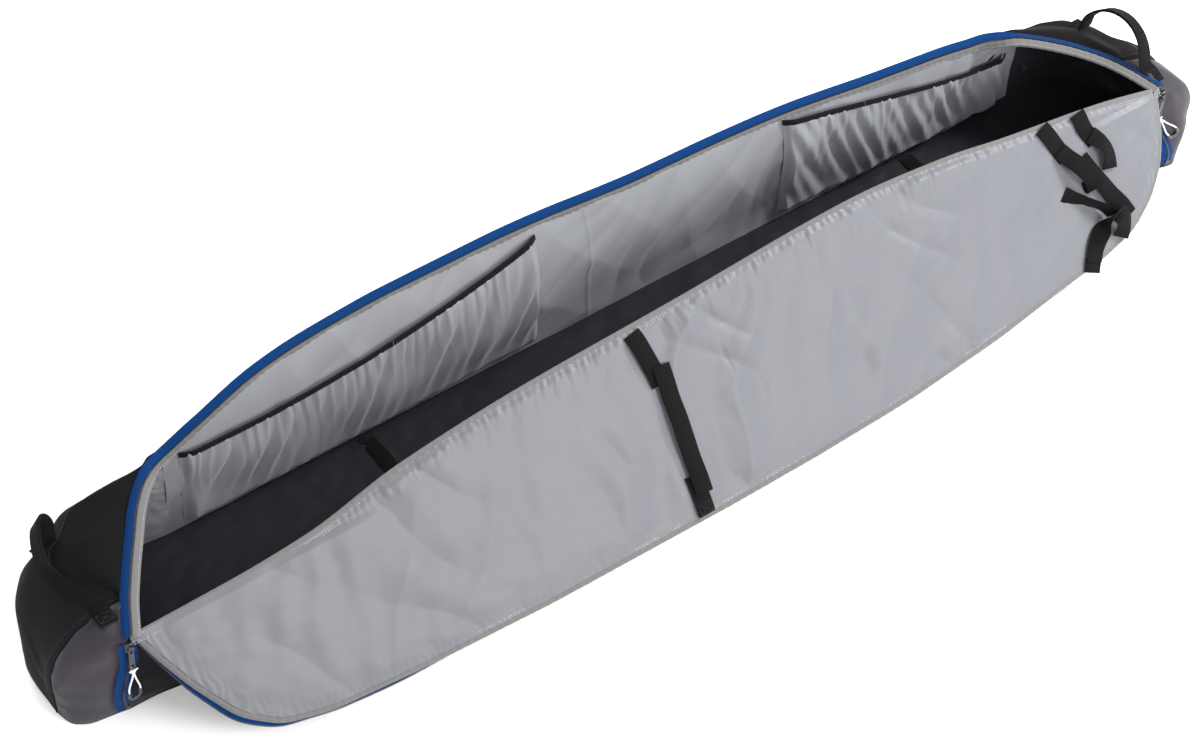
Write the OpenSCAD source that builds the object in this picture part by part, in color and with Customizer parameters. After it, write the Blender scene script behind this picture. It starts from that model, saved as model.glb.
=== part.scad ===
// Ski bag: a long soft bag, about two metres, lying open on its base.
// X runs along the bag, +Y is the back, -Y is the lid side, Z is up. The origin is the centre of the base.
// The lid is hinged along the top of the front wall and hangs open, with its outer edge just off the ground.

/* [Bag] */
// Overall length of the bag
bag_l = 1970; // [1900:10:2050]
// Outer width between the front and back walls
bag_w = 230; // [226:1:240]
// Height of the walls at the hinge line
bag_h = 176; // [174:1:190]
// Radius of the rounded ends, seen from above
end_r = 75; // [60:5:80]
// Thickness of a padded outer wall
wall_t = 5; // [4:0.5:6]
// Thickness of a lining
lining_t = 1.5; // [1:0.1:2]

/* [Opening] */
// Half the length of the hinge line
hinge_half = 904; // [860:2:908]
// Where the back edge of the opening starts at the left end
back_left = 762; // [740:2:800]
// Where the back edge of the opening starts at the right end
back_right = 806; // [740:2:820]
// How far the soft back edge rises above the walls, measured up its slope
crown_rise = 80; // [60:2:90]
// How far the soft front edge rises above the hinge line, measured up its slope
ridge_rise = 66; // [40:2:70]

/* [Lid] */
// Width of the lid from the hinge line to its outer edge
lid_w = 240; // [230:1:240]
// Angle of the open lid, measured from the closed lid
lid_open = 225; // [215:1:225]
// Thickness of the lid's outer fabric, foam and lining together
lid_t = 6.5; // [6:0.5:7]
// Width of the binding around the lid
bind_w = 8; // [6:1:10]

/* [Zip] */
// Width of one zip tape
tape_w = 8; // [7:1:9]
// Width of the closed coil
coil_w = 5; // [4:0.5:6]
// Lowest point of the closed zip on the front wall
zip_foot = 14; // [10:1:30]

/* [Webbing] */
// Width of the hook-and-loop straps on the lid
strap_w = 28; // [20:1:32]
// Width of the straps that tie the skis down
tie_w = 25; // [20:1:28]
// Thickness of webbing
web_t = 1.6; // [1.2:0.1:1.8]
// Width of a grab handle's webbing
handle_w = 27; // [20:1:28]
// Distance between the two ends of a grab handle
handle_span = 130; // [110:5:140]
// Height of a grab handle's arch
handle_rise = 48; // [44:1:55]

/* [Hidden] */
$fn = 48;
big = 3000;
gap = 0.3;

half_l = bag_l / 2;
half_w = bag_w / 2;
panel_t = 3;
board_t = 6;
floor_z = panel_t + board_t + lining_t;
rim_z = bag_h - 0.5;
top_z = bag_h - 2;
inner_y = half_w - wall_t;
lined_y = inner_y - lining_t;
corner_y = -55;

// Colours
black = "#1c1b1f";
charcoal = "#2a282e";
slate = "#4b464f";
grey = "#a3a5ad";
dark_grey = "#3b3a42";
blue = "#1257b4";
light = "#b9bcc4";
white = "#e8e8ea";

// Profile of an end, as steps in from the bag's length and height
end_profile = [[3, 0], [0, 40], [12, 100], [30, 140], [52, 163], [75, top_z]];

// ---------- shared shapes ----------

module plan(inset) {
    r = end_r - inset;
    l = half_l - inset;
    w = half_w - inset;
    square([2 * (l - r), 2 * w], center = true);
    square([2 * l, 2 * (w - r)], center = true);
    for (sx = [-1, 1], sy = [-1, 1]) translate([sx * (l - r), sy * (w - r)]) circle(r);
}

// The closed outer form of the bag, drawn in by inset on every side
module bag_form(inset) {
    right = [for (p = end_profile) [half_l - inset - p[0], min(max(p[1], inset), top_z - inset)]];
    left = [for (i = [len(right) - 1 : -1 : 0]) [-right[i][0], right[i][1]]];
    intersection() {
        linear_extrude(top_z) plan(inset);
        rotate([90, 0, 0]) linear_extrude(bag_w, center = true) polygon(concat(right, left));
    }
}

module shell(inset, t) {
    difference() {
        bag_form(inset);
        bag_form(inset + t);
    }
}

// A box given by its ranges along X, Y and Z
module slab(x, y, z) {
    translate([x[0], y[0], z[0]]) cube([x[1] - x[0], y[1] - y[0], z[1] - z[0]]);
}

// side is -1 for the left end and 1 for the right end
module beyond(side, x, y = [-big, big], z = [-big, big]) {
    slab(side > 0 ? [x, big] : [-big, -x], y, z);
}

function back_corner(side) = side > 0 ? back_right : back_left;

// Plan of a strip beside the slanting end of the opening, from off0 to off1 outside its edge
module slant(side, off0, off1) {
    run = hinge_half - back_corner(side);
    angle = atan2(run, bag_w);
    translate([side * hinge_half, -half_w]) rotate(side * angle)
        translate([side > 0 ? off0 : -off1, -20]) square([off1 - off0, bag_w / cos(angle) + 40]);
}

// Places a shape drawn on the lid: Y runs out from the hinge line and Z towards the lid's outer side
module on_lid() {
    translate([0, -half_w, bag_h]) rotate([lid_open, 0, 0]) children();
}

// Places a shape drawn on the soft back edge: Y runs up its slope and Z towards the inside
module on_crown() {
    translate([0, half_w, bag_h]) rotate([60, 0, 0]) children();
}

// ---------- base and walls ----------

module base_panel() color(charcoal) intersection() {
    bag_form(0);
    slab([-big, big], [-big, big], [0, panel_t]);
}

module base_board() color("#d8d4c8") intersection() {
    bag_form(wall_t);
    slab([-big, big], [-big, big], [wall_t, panel_t + board_t]);
}

module base_lining() color(dark_grey) intersection() {
    bag_form(wall_t);
    slab([-big, big], [-big, big], [panel_t + board_t, floor_z]);
}

module front_wall() color(charcoal)
    slab([-hinge_half, hinge_half], [-half_w, -inner_y], [panel_t, rim_z]);

module front_lining() color(grey)
    slab([-hinge_half, hinge_half], [-inner_y, -lined_y], [floor_z, rim_z]);

vent_x = 850;
vent_z = 60;
vent_r = 4;
vent_barrel = 6;

module vent_hole() translate([vent_x, half_w, vent_z]) rotate([90, 0, 0])
    cylinder(r = vent_barrel, h = 60, center = true);

module back_wall() color(black) difference() {
    slab([-hinge_half, hinge_half], [inner_y, half_w], [panel_t, rim_z]);
    vent_hole();
}

module back_lining() color(grey) difference() {
    slab([-hinge_half, hinge_half], [lined_y, inner_y], [floor_z, rim_z]);
    vent_hole();
}

module vent_eyelet() color(black) translate([vent_x, 0, vent_z]) rotate([-90, 0, 0]) difference() {
    union() {
        translate([0, 0, lined_y]) cylinder(r = vent_barrel, h = half_w - lined_y);
        translate([0, 0, lined_y - 1.4]) cylinder(r = 9, h = 1.4);
        translate([0, 0, half_w]) cylinder(r = 9, h = 1.2);
    }
    cylinder(r = vent_r, h = bag_w);
}

// ---------- ends ----------

module end_wall(side) color(black) intersection() {
    shell(0, wall_t);
    beyond(side, hinge_half, [corner_y, big], [panel_t, top_z - wall_t]);
}

module end_top(side) color(black) difference() {
    intersection() {
        bag_form(0);
        translate([0, 0, top_z - wall_t]) linear_extrude(wall_t) slant(side, 0, 400);
    }
    slab([-hinge_half, hinge_half], [lined_y, big], [0, big]);
    slab([-hinge_half, hinge_half], [-big, -lined_y], [0, big]);
    beyond(side, hinge_half, [-big, corner_y]);
}

module corner_panel(side) color(slate) intersection() {
    shell(0, wall_t);
    beyond(side, hinge_half, [-big, corner_y], [panel_t, big]);
}

module end_lining(side) color(dark_grey) intersection() {
    shell(wall_t, lining_t);
    beyond(side, hinge_half, z = [floor_z, big]);
}

// ---------- soft edges of the opening ----------

// Outline of the raised back edge: distance along the bag and share of its full rise
crown_line = [
    [-1, 0], [-0.92, 0.28], [-0.83, 0.55], [-0.67, 0.9], [-0.53, 1], [-0.2, 1],
    [0.1, 0.84], [0.46, 0.64], [0.65, 0.46], [0.82, 0.22], [1, 0]
];

function crown_point(p, cut) =
    [p[0] * (p[0] < 0 ? back_left : back_right), max(p[1] * crown_rise - cut, 0)];

module crown_outline(cut) polygon([for (p = crown_line) crown_point(p, cut)]);

module crown_strip(from, to, t0, t1) on_crown() translate([0, 0, t0]) linear_extrude(t1 - t0) difference() {
    crown_outline(from);
    crown_outline(to);
}

module back_crown() color(black) on_crown() linear_extrude(4) crown_outline(tape_w);

module body_binding() color(grey) {
    crown_strip(tape_w, tape_w + bind_w, 4, 5.4);
    for (side = [-1, 1]) translate([0, 0, top_z]) linear_extrude(1.2) intersection() {
        plan(wall_t + lining_t);
        slant(side, 0, bind_w);
    }
}

module body_zip_tape() color(blue) {
    crown_strip(0, tape_w, 1.4, 2.6);
    for (side = [-1, 1]) translate([0, 0, top_z - 1.2]) linear_extrude(1.2) intersection() {
        plan(wall_t + lining_t);
        slant(side, -tape_w, 0);
    }
}

module body_zip_coil() color(dark_grey) {
    crown_strip(0, coil_w / 2, 2.6, 4.4);
    for (side = [-1, 1]) translate([0, 0, top_z]) linear_extrude(1.6) intersection() {
        plan(wall_t + lining_t);
        slant(side, -tape_w, coil_w / 2 - tape_w);
    }
}

ridge_start = -700;
ridge_steps = 16;

// The front edge rises in one long low wave towards the right of the middle
function ridge_height(u) = ridge_rise * pow(sin(180 * u), 0.9);
function ridge_x(u) = ridge_start + u * (hinge_half - ridge_start);

module ridge_outline(cut) polygon([
    for (i = [0 : ridge_steps]) let (u = i / ridge_steps) [ridge_x(u), -max(ridge_height(u) - cut, 0)]
]);

module front_ridge() color(light) on_lid() translate([0, 0, -4]) linear_extrude(4) ridge_outline(0);

module hinge_binding() color(grey) on_lid() translate([0, 0, -5.4]) linear_extrude(1.4) difference() {
    ridge_outline(0);
    ridge_outline(bind_w);
}

// ---------- closed ends of the zip on the front wall ----------

tape_t = 1.2;
coil_t = 2.4;
slider_z = 164;
tape_y = -half_w - 0.1;

module closed_zip_tapes() color(blue)
    for (side = [-1, 1], half = [-1, 1])
        translate([side * hinge_half + half * (coil_w + tape_w) / 2, tape_y - tape_t, zip_foot])
            translate([-tape_w / 2, 0, 0]) cube([tape_w, tape_t, slider_z + 10 - zip_foot]);

module closed_zip_coils() color(dark_grey)
    for (side = [-1, 1])
        translate([side * hinge_half - coil_w / 2, tape_y - coil_t, zip_foot + 4])
            cube([coil_w, coil_t, slider_z - zip_foot]);

module zip_stops() color(black)
    for (side = [-1, 1])
        translate([side * hinge_half - coil_w / 2, tape_y - coil_t - 0.6, zip_foot])
            cube([coil_w, coil_t + 0.6, 4]);

// ---------- pockets on the back lining ----------

pocket_depth = 14;
pocket_wall = 1.5;
left_pocket_x = [-690, -95];
right_pocket_x = [352, 795];
left_pocket_z = [20, 165];
right_pocket_z = [20, 150];

module pocket(x, z) color(grey) difference() {
    slab(x, [lined_y - pocket_depth, lined_y], z);
    slab([x[0] + pocket_wall, x[1] - pocket_wall],
        [lined_y - pocket_depth + pocket_wall, lined_y + 1], [z[0] + pocket_wall, z[1] + 1]);
}

module pocket_elastic(x, z) color(black)
    slab(x, [lined_y - pocket_depth - 1.6, lined_y - pocket_depth], [z[1] - 9, z[1]]);

// ---------- lid ----------

lid_start = lid_t + 2.5;

// Outline of the lid: share of the hinge line's half length, and share of the lid's width
lid_corners = [
    [-0.99, 0], [-0.957, 0.31], [-0.92, 0.54], [-0.884, 0.75], [-0.85, 0.84], [-0.79, 0.91],
    [-0.69, 0.95], [-0.34, 0.98], [0.09, 1], [0.36, 0.98], [0.59, 0.88], [0.75, 0.84],
    [0.83, 0.74], [0.9, 0.56], [0.96, 0.28], [0.99, 0]
];

module lid_outline(inset) polygon([
    for (p = lid_corners) [p[0] * (hinge_half - 1.2 * inset), max(p[1] * (lid_w - inset), lid_start)]
]);

module lid_layer(inset, t0, t1) on_lid() translate([0, 0, gap + t0])
    linear_extrude(t1 - t0) lid_outline(inset);

module lid_ring(outer, inner, t0, t1) on_lid() translate([0, 0, gap + t0])
    linear_extrude(t1 - t0) difference() {
        lid_outline(outer);
        lid_outline(inner);
    }

lid_inset = tape_w + bind_w;

module lid_lining() color(light) lid_layer(lid_inset, 0, 1.2);
module lid_foam() color("#d8d4c8") lid_layer(lid_inset, 1.2, lid_t - 1.5);
module lid_outer() color(charcoal) lid_layer(lid_inset, lid_t - 1.5, lid_t);
module lid_binding() color(grey) lid_ring(tape_w, lid_inset, 0, lid_t);
module lid_zip_tape() color(blue) lid_ring(0, tape_w, 3, 4.2);
module lid_zip_coil() color(dark_grey) lid_ring(0, coil_w / 2, 1.2, 3);

// ---------- straps on the lid ----------

mid_x = -66;
upper_x = 679;
lower_x = 690;
short_x = 765;
upper_root = 14;
lower_root = 180;
mid_root = 200;

// A strap lying on the lid, from s0 to s1 out from the hinge line, its top lift off the lining
module lid_strap(x, s0, s1, lift) on_lid()
    translate([x - strap_w / 2, min(s0, s1), -lift - web_t])
        cube([strap_w, abs(s1 - s0), web_t]);

module lid_strap_patches() color(black) {
    lid_strap(mid_x, mid_root + 2, mid_root + 16, 0.5);
    lid_strap(lower_x, lower_root + 2, lower_root + 12, 0.5);
}

module mid_strap_tab() color(black) lid_strap(mid_x - 7, upper_root, 36, 0);
module mid_strap() color(black) lid_strap(mid_x, 22, mid_root, web_t + 0.6);
module end_strap_upper() color(black) lid_strap(upper_x, upper_root, 104, 0.5);
module end_strap_lower() color(black) lid_strap(lower_x, 112, lower_root, 0.5);
module end_strap_short() color(black) lid_strap(short_x, upper_root, 88, 0.5);

// ---------- zip sliders and pulls ----------

bar_y = -half_w - 10;
bar_r = 1;
pull_l = 44;

module slider(side) color(black) translate([side * hinge_half, 0, slider_z]) {
    difference() {
        slab([-5.5, 5.5], [-half_w - 7, -half_w - 1.7], [-8, 8]);
        slab([-3.3, 3.3], [-half_w - 3.2, -half_w], [-9, 9]);
    }
    for (sx = [-1, 1]) translate([sx * 4.25, 0, 0]) slab([-0.75, 0.75], [bar_y - 2, -half_w - 7], [-2, 2]);
    translate([0, bar_y, 0]) rotate([0, 90, 0]) cylinder(r = bar_r, h = 8, center = true);
}

module pull(side) color(black) translate([side * hinge_half, bar_y, slider_z]) difference() {
    union() {
        rotate([0, 90, 0]) cylinder(r = 2.4, h = 6, center = true);
        slab([-3, 3], [-1, 1], [-pull_l + 3, -1]);
        translate([0, 0, -pull_l + 3]) rotate([90, 0, 0]) cylinder(r = 4, h = 2, center = true);
    }
    rotate([0, 90, 0]) cylinder(r = bar_r + 0.05, h = 10, center = true);
    translate([0, 0, -pull_l + 3]) rotate([90, 0, 0]) cylinder(r = 1.8, h = 4, center = true);
}

cord_r = 1.2;
cord_drop = 56;
cord_spread = 8;

// A knotted cord from the pull down to its moulded grip
module pull_cord(side) translate([side * hinge_half, bar_y, slider_z - pull_l - 3.6]) {
    color(white) sphere(2.4);
    for (sx = [-1, 1]) color(white) rotate([0, sx * atan(cord_spread / cord_drop), 0])
        translate([0, 0, -cord_drop]) cylinder(r = cord_r, h = cord_drop - 1);
    color(black) translate([0, 0, -cord_drop + 2]) rotate([-90, 0, 0])
        rotate_extrude(angle = 180) translate([cord_spread, 0]) circle(2.6);
}

// ---------- grab handles ----------

hinge_z = top_z + 6;
hinge_x = half_l - 80;
left_handle_y = 12;
right_handle_y = -8;
left_lean = 55;
right_lean = 20;
arch_r = (pow(handle_span / 2, 2) + pow(handle_rise, 2)) / (2 * handle_rise);
arch_foot = 20;

// An arch of webbing that leans out over the end; it starts above the sewn ends, which stay on the bag
module handle(side, y, lean) color(black)
    translate([side * hinge_x, y, hinge_z]) rotate([0, side * lean, 0]) intersection() {
        translate([0, 0, handle_rise - arch_r]) rotate([0, 90, 0]) difference() {
            cylinder(r = arch_r, h = handle_w, center = true);
            cylinder(r = arch_r - 3, h = handle_w + 2, center = true);
        }
        slab([-big, big], [-big, big], [arch_foot, big]);
    }

module handle_patches() color(black)
    for (h = [[-1, left_handle_y], [1, right_handle_y]], end = [-1, 1])
        translate([h[0] * (hinge_x + 4), h[1] + end * handle_span / 2, top_z + 1.7])
            translate([-13, -14, 0]) cube([26, 28, web_t]);

// ---------- straps that tie the skis down ----------

left_tie_x = -400;
right_tie_x = 600;
tie_root = 88;
tie_z = floor_z + 1.4;
buckle_w = 34;
buckle_t = 11;
socket_y = [-12, 18];
plug_y = [-58, -42];

module tie_patches() color(black)
    for (x = [left_tie_x, right_tie_x], end = [[tie_root - 2, tie_root + 4], [-tie_root - 14, -tie_root]])
        slab([x - tie_w / 2, x + tie_w / 2], end, [floor_z, floor_z + 1]);

module tie_web(x, y) color(black)
    slab([x - tie_w / 2, x + tie_w / 2], y, [tie_z, tie_z + web_t]);

module buckle_socket(x) color(black) translate([x, 0, 0]) difference() {
    slab([-buckle_w / 2, buckle_w / 2], socket_y, [tie_z, tie_z + buckle_t]);
    slab([-12, 12], [socket_y[0] - 1, socket_y[1] - 8], [tie_z + 2.5, tie_z + buckle_t - 2.5]);
    for (sx = [-1, 1]) slab(sx > 0 ? [11, 20] : [-20, -11], [-4, 8], [tie_z + 2.5, tie_z + buckle_t - 2.5]);
    slab([-tie_w / 2 - 1, tie_w / 2 + 1], [socket_y[1] - 5, socket_y[1] - 2], [tie_z - 1, tie_z + 20]);
}

module buckle_plug(x) color(black) translate([x, 0, tie_z]) {
    difference() {
        slab([-buckle_w / 2, buckle_w / 2], plug_y, [0, 9]);
        slab([-tie_w / 2 - 1, tie_w / 2 + 1], [plug_y[0] + 2.5, plug_y[0] + 5.5], [-1, 20]);
    }
    slab([-2.5, 2.5], [plug_y[1], plug_y[1] + 18], [3, 6]);
    for (sx = [-1, 1]) translate([sx * 9, 0, 0]) {
        slab([-2, 2], [plug_y[1], plug_y[1] + 16], [3, 6]);
        translate([sx, plug_y[1] + 17, 3]) cylinder(r = 4, h = 3);
    }
}

// ---------- nodes ----------

base_panel();
base_board();
base_lining();
front_wall();
front_lining();
back_wall();
back_lining();
end_wall(-1);  // left_end_wall
end_wall(1);  // right_end_wall
end_top(-1);  // left_end_top
end_top(1);  // right_end_top
end_lining(-1);  // left_end_lining
end_lining(1);  // right_end_lining
corner_panel(-1);  // left_corner_panel
corner_panel(1);  // right_corner_panel
front_ridge();
hinge_binding();
back_crown();
body_binding();
body_zip_tape();
body_zip_coil();
closed_zip_tapes();
closed_zip_coils();
zip_stops();
pocket(left_pocket_x, left_pocket_z);  // left_pocket
pocket(right_pocket_x, right_pocket_z);  // right_pocket
pocket_elastic(left_pocket_x, left_pocket_z);  // left_pocket_elastic
pocket_elastic(right_pocket_x, right_pocket_z);  // right_pocket_elastic
vent_eyelet();
handle_patches();
tie_patches();
lid_outer();
lid_foam();
lid_lining();
lid_binding();
lid_zip_tape();
lid_zip_coil();
lid_strap_patches();
mid_strap_tab();
mid_strap();
end_strap_upper();
end_strap_lower();
end_strap_short();
slider(-1);  // left_slider
slider(1);  // right_slider
pull(-1);  // left_pull
pull(1);  // right_pull
pull_cord(-1);  // left_pull_cord
pull_cord(1);  // right_pull_cord
handle(-1, left_handle_y, left_lean);  // left_handle
handle(1, right_handle_y, right_lean);  // right_handle
tie_web(left_tie_x, [socket_y[1] + 0.2, tie_root]);  // left_tie_back
tie_web(left_tie_x, [-tie_root, plug_y[0] - 0.2]);  // left_tie_front
tie_web(right_tie_x, [socket_y[1] + 0.2, tie_root]);  // right_tie_back
tie_web(right_tie_x, [-tie_root, plug_y[0] - 0.2]);  // right_tie_front
buckle_socket(left_tie_x);  // left_buckle_socket
buckle_socket(right_tie_x);  // right_buckle_socket
buckle_plug(left_tie_x);  // left_buckle_plug
buckle_plug(right_tie_x);  // right_buckle_plug
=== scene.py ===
"""Ski bag: soft shell, linings, zip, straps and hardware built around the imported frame.
Lengths are in metres. X runs along the bag, +Y is the back, Z is up."""
import math

import bpy
import numpy as np
from mathutils import Matrix, Vector


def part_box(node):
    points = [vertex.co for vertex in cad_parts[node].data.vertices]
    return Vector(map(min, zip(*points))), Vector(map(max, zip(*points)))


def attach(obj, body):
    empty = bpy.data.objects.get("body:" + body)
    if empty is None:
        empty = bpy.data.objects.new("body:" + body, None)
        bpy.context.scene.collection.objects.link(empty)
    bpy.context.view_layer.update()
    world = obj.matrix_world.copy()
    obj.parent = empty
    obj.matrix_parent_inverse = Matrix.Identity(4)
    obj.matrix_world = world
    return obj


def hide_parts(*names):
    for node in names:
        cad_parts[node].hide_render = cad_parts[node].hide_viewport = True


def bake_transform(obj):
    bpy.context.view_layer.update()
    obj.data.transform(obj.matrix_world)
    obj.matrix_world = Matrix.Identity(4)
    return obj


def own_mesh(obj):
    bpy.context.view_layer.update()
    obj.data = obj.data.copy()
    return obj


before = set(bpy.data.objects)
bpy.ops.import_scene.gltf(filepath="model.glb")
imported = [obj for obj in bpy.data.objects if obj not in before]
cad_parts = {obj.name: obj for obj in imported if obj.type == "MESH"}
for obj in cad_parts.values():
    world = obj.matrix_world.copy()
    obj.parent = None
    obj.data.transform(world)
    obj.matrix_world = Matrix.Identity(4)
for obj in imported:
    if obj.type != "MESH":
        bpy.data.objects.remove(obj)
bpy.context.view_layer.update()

MM = 0.001
HALF_W = -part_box("front_wall")[0][1]
HINGE_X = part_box("front_wall")[1][0]
HINGE_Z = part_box("front_wall")[1][2] + 0.5 * MM
FLOOR_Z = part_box("base_lining")[1][2]
LINED_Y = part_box("back_lining")[0][1]
SLANT = math.sqrt(0.5)
THIN, THICK = 1.2 * MM, 2 * MM  # lining and shell cloth
STEP = 2 * MM  # spacing of points along edges


# ---------- camera, light and floor ----------

CAMERA_ANGLES = (-40.98, 50.39, 5.88)  # azimuth, elevation and roll, in degrees
CAMERA_PLACE = (-1.9194, -2.1427, 3.4622)
LENS, SENSOR = 92.88, 36
LIGHTS = {  # place, target, size, power
    "key_light": ((2.7, -0.7, 2.3), (0.1, 0, 0.1), 1.0, 150),
    "fill_light": ((-2.3, -2.2, 2.6), (-0.2, 0, 0.1), 2.0, 60),
    "front_light": ((0.9, -3.0, 2.0), (0.2, 0, 0.2), 1.8, 130),
    "back_light": ((-0.6, 2.4, 2.4), (0, 0, 0.1), 1.6, 70),
}
WORLD_STRENGTH = 0.72
FLOOR_REACH, FLOOR_GREY = 14, 0.92


def make_camera():
    """Looks down on the bag from its left front."""
    azimuth, elevation, roll = (math.radians(a) for a in CAMERA_ANGLES)
    back = Vector((
        math.sin(azimuth) * math.cos(elevation),
        -math.cos(azimuth) * math.cos(elevation),
        math.sin(elevation),
    ))
    right = Vector((math.cos(azimuth), math.sin(azimuth), 0))
    up = back.cross(right)
    x_axis = right * math.cos(roll) + up * math.sin(roll)
    y_axis = up * math.cos(roll) - right * math.sin(roll)
    matrix = Matrix.Identity(4)
    for column, axis in enumerate((x_axis, y_axis, back)):
        for row in range(3):
            matrix[row][column] = axis[row]
    matrix.translation = Vector(CAMERA_PLACE)
    data = bpy.data.cameras.new("camera")
    data.sensor_width = SENSOR
    data.lens = LENS
    camera = bpy.data.objects.new("camera", data)
    camera.matrix_world = matrix
    bpy.context.scene.collection.objects.link(camera)
    bpy.context.scene.camera = camera


def area_light(name, place, target, size, power):
    data = bpy.data.lights.new(name, "AREA")
    data.shape = "DISK"
    data.size = size
    data.energy = power
    light = bpy.data.objects.new(name, data)
    light.location = place
    light.rotation_euler = (Vector(target) - Vector(place)).to_track_quat("-Z", "Y").to_euler()
    bpy.context.scene.collection.objects.link(light)


def make_studio():
    for name, settings in LIGHTS.items():
        area_light(name, *settings)
    world = bpy.data.worlds.new("studio")
    world.use_nodes = True
    background = world.node_tree.nodes["Background"].inputs
    background["Color"].default_value = (1, 1, 1, 1)
    background["Strength"].default_value = WORLD_STRENGTH
    bpy.context.scene.world = world
    bpy.context.scene.view_settings.view_transform = "Standard"
    mesh = bpy.data.meshes.new("floor")
    corners = [(x * FLOOR_REACH, y * FLOOR_REACH, 0) for x, y in ((-1, -1), (1, -1), (1, 1), (-1, 1))]
    mesh.from_pydata(corners, [], [(0, 1, 2, 3)])
    floor = bpy.data.objects.new("floor", mesh)
    bpy.context.scene.collection.objects.link(floor)
    surface = bpy.data.materials.new("floor_paper")
    surface.use_nodes = True
    shader = surface.node_tree.nodes["Principled BSDF"]
    shader.inputs["Base Color"].default_value = (FLOOR_GREY, FLOOR_GREY, FLOOR_GREY, 1)
    shader.inputs["Roughness"].default_value = 0.9
    mesh.materials.append(surface)


make_camera()
make_studio()


# ---------- materials ----------

class Nodes:
    """Short ways to add and join shader nodes."""

    def __init__(self, name):
        self.material = bpy.data.materials.new(name)
        self.material.use_nodes = True
        self.tree = self.material.node_tree
        self.shader = self.tree.nodes["Principled BSDF"]

    def add(self, kind, **values):
        node = self.tree.nodes.new(kind)
        for key, value in values.items():
            setattr(node, key, value)
        return node

    def put(self, source, target):
        self.tree.links.new(source, target)

    def noise(self, vector, scale, detail, rough=0.55):
        node = self.add("ShaderNodeTexNoise")
        node.inputs["Scale"].default_value = scale
        node.inputs["Detail"].default_value = detail
        node.inputs["Roughness"].default_value = rough
        self.put(vector, node.inputs["Vector"])
        return node.outputs["Fac"]

    def wave(self, vector, axis, scale):
        node = self.add("ShaderNodeTexWave", wave_type="BANDS", bands_direction=axis, wave_profile="SIN")
        node.inputs["Scale"].default_value = scale
        self.put(vector, node.inputs["Vector"])
        return node.outputs["Fac"]

    def math(self, operation, a, b):
        node = self.add("ShaderNodeMath", operation=operation)
        for value, socket in ((a, node.inputs[0]), (b, node.inputs[1])):
            if isinstance(value, (int, float)):
                socket.default_value = value
            else:
                self.put(value, socket)
        return node.outputs[0]

    def ramp(self, factor, low, high):
        node = self.add("ShaderNodeMapRange")
        node.inputs["To Min"].default_value = low
        node.inputs["To Max"].default_value = high
        self.put(factor, node.inputs["Value"])
        return node.outputs["Result"]

    def mix(self, factor, a, b):
        node = self.add("ShaderNodeMix", data_type="RGBA")
        for value, socket in ((a, node.inputs[6]), (b, node.inputs[7])):
            if isinstance(value, tuple):
                socket.default_value = (*value, 1)
            else:
                self.put(value, socket)
        self.put(factor, node.inputs[0])
        return node.outputs[2]

    def bump(self, height, strength, distance):
        node = self.add("ShaderNodeBump")
        node.inputs["Strength"].default_value = strength
        node.inputs["Distance"].default_value = distance
        self.put(height, node.inputs["Height"])
        self.put(node.outputs["Normal"], self.shader.inputs["Normal"])


WAVE_TURN = 20 / (2 * math.pi)  # turns of a wave texture over one unit, at a scale of 1


def fabric(name, colour, pitch, rough, sheen, contrast=0.12, weave=0.35, uv=True, ribs=False,
           gloss=0.1):
    """Woven cloth: warp and weft relief, uneven dye, and a roughness that varies.
    pitch is the distance between threads; ribs makes the weft stand out, as on webbing."""
    n = Nodes(name)
    coordinates = n.add("ShaderNodeTexCoord").outputs["UV" if uv else "Object"]
    wave_scale = 1 / (pitch * WAVE_TURN * 2)
    warp = n.wave(coordinates, "X", wave_scale)
    weft = n.wave(coordinates, "Y", wave_scale)
    threads = n.math("ADD", n.math("MULTIPLY", warp, 0.35), weft) if ribs else n.math("MAXIMUM", warp, weft)
    patches = n.noise(coordinates, 9, 4)
    grain = n.noise(coordinates, 420, 2)
    dark = tuple(c * (1 - contrast) for c in colour)
    bright = tuple(min(c * (1 + contrast), 1) for c in colour)
    shade = n.mix(patches, dark, bright)
    worn = n.mix(n.ramp(threads, 0.0, 0.5), shade, tuple(c * 0.72 for c in colour))
    speckled = n.mix(n.ramp(grain, 0.0, 0.35), worn, tuple(min(c * 1.25 + 0.004, 1) for c in colour))
    n.put(speckled, n.shader.inputs["Base Color"])
    n.put(n.ramp(patches, rough - 0.08, rough + 0.08), n.shader.inputs["Roughness"])
    n.shader.inputs["Sheen Weight"].default_value = sheen
    n.shader.inputs["Sheen Roughness"].default_value = 0.4
    n.shader.inputs["Specular IOR Level"].default_value = gloss
    n.bump(n.math("ADD", threads, n.math("MULTIPLY", grain, 0.6)), weave, pitch * 0.35)
    return n.material


def plastic(name, colour, rough, coat=0.1):
    """Moulded plastic with a fine eggshell texture and handling marks."""
    n = Nodes(name)
    coordinates = n.add("ShaderNodeTexCoord").outputs["Object"]
    grain = n.noise(coordinates, 900, 2)
    marks = n.noise(coordinates, 60, 4, 0.7)
    n.put(n.mix(marks, colour, tuple(min(c * 1.6 + 0.006, 1) for c in colour)), n.shader.inputs["Base Color"])
    n.put(n.ramp(marks, rough - 0.08, rough + 0.15), n.shader.inputs["Roughness"])
    n.shader.inputs["Coat Weight"].default_value = coat
    n.bump(grain, 0.25, 0.0002)
    return n.material


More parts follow.
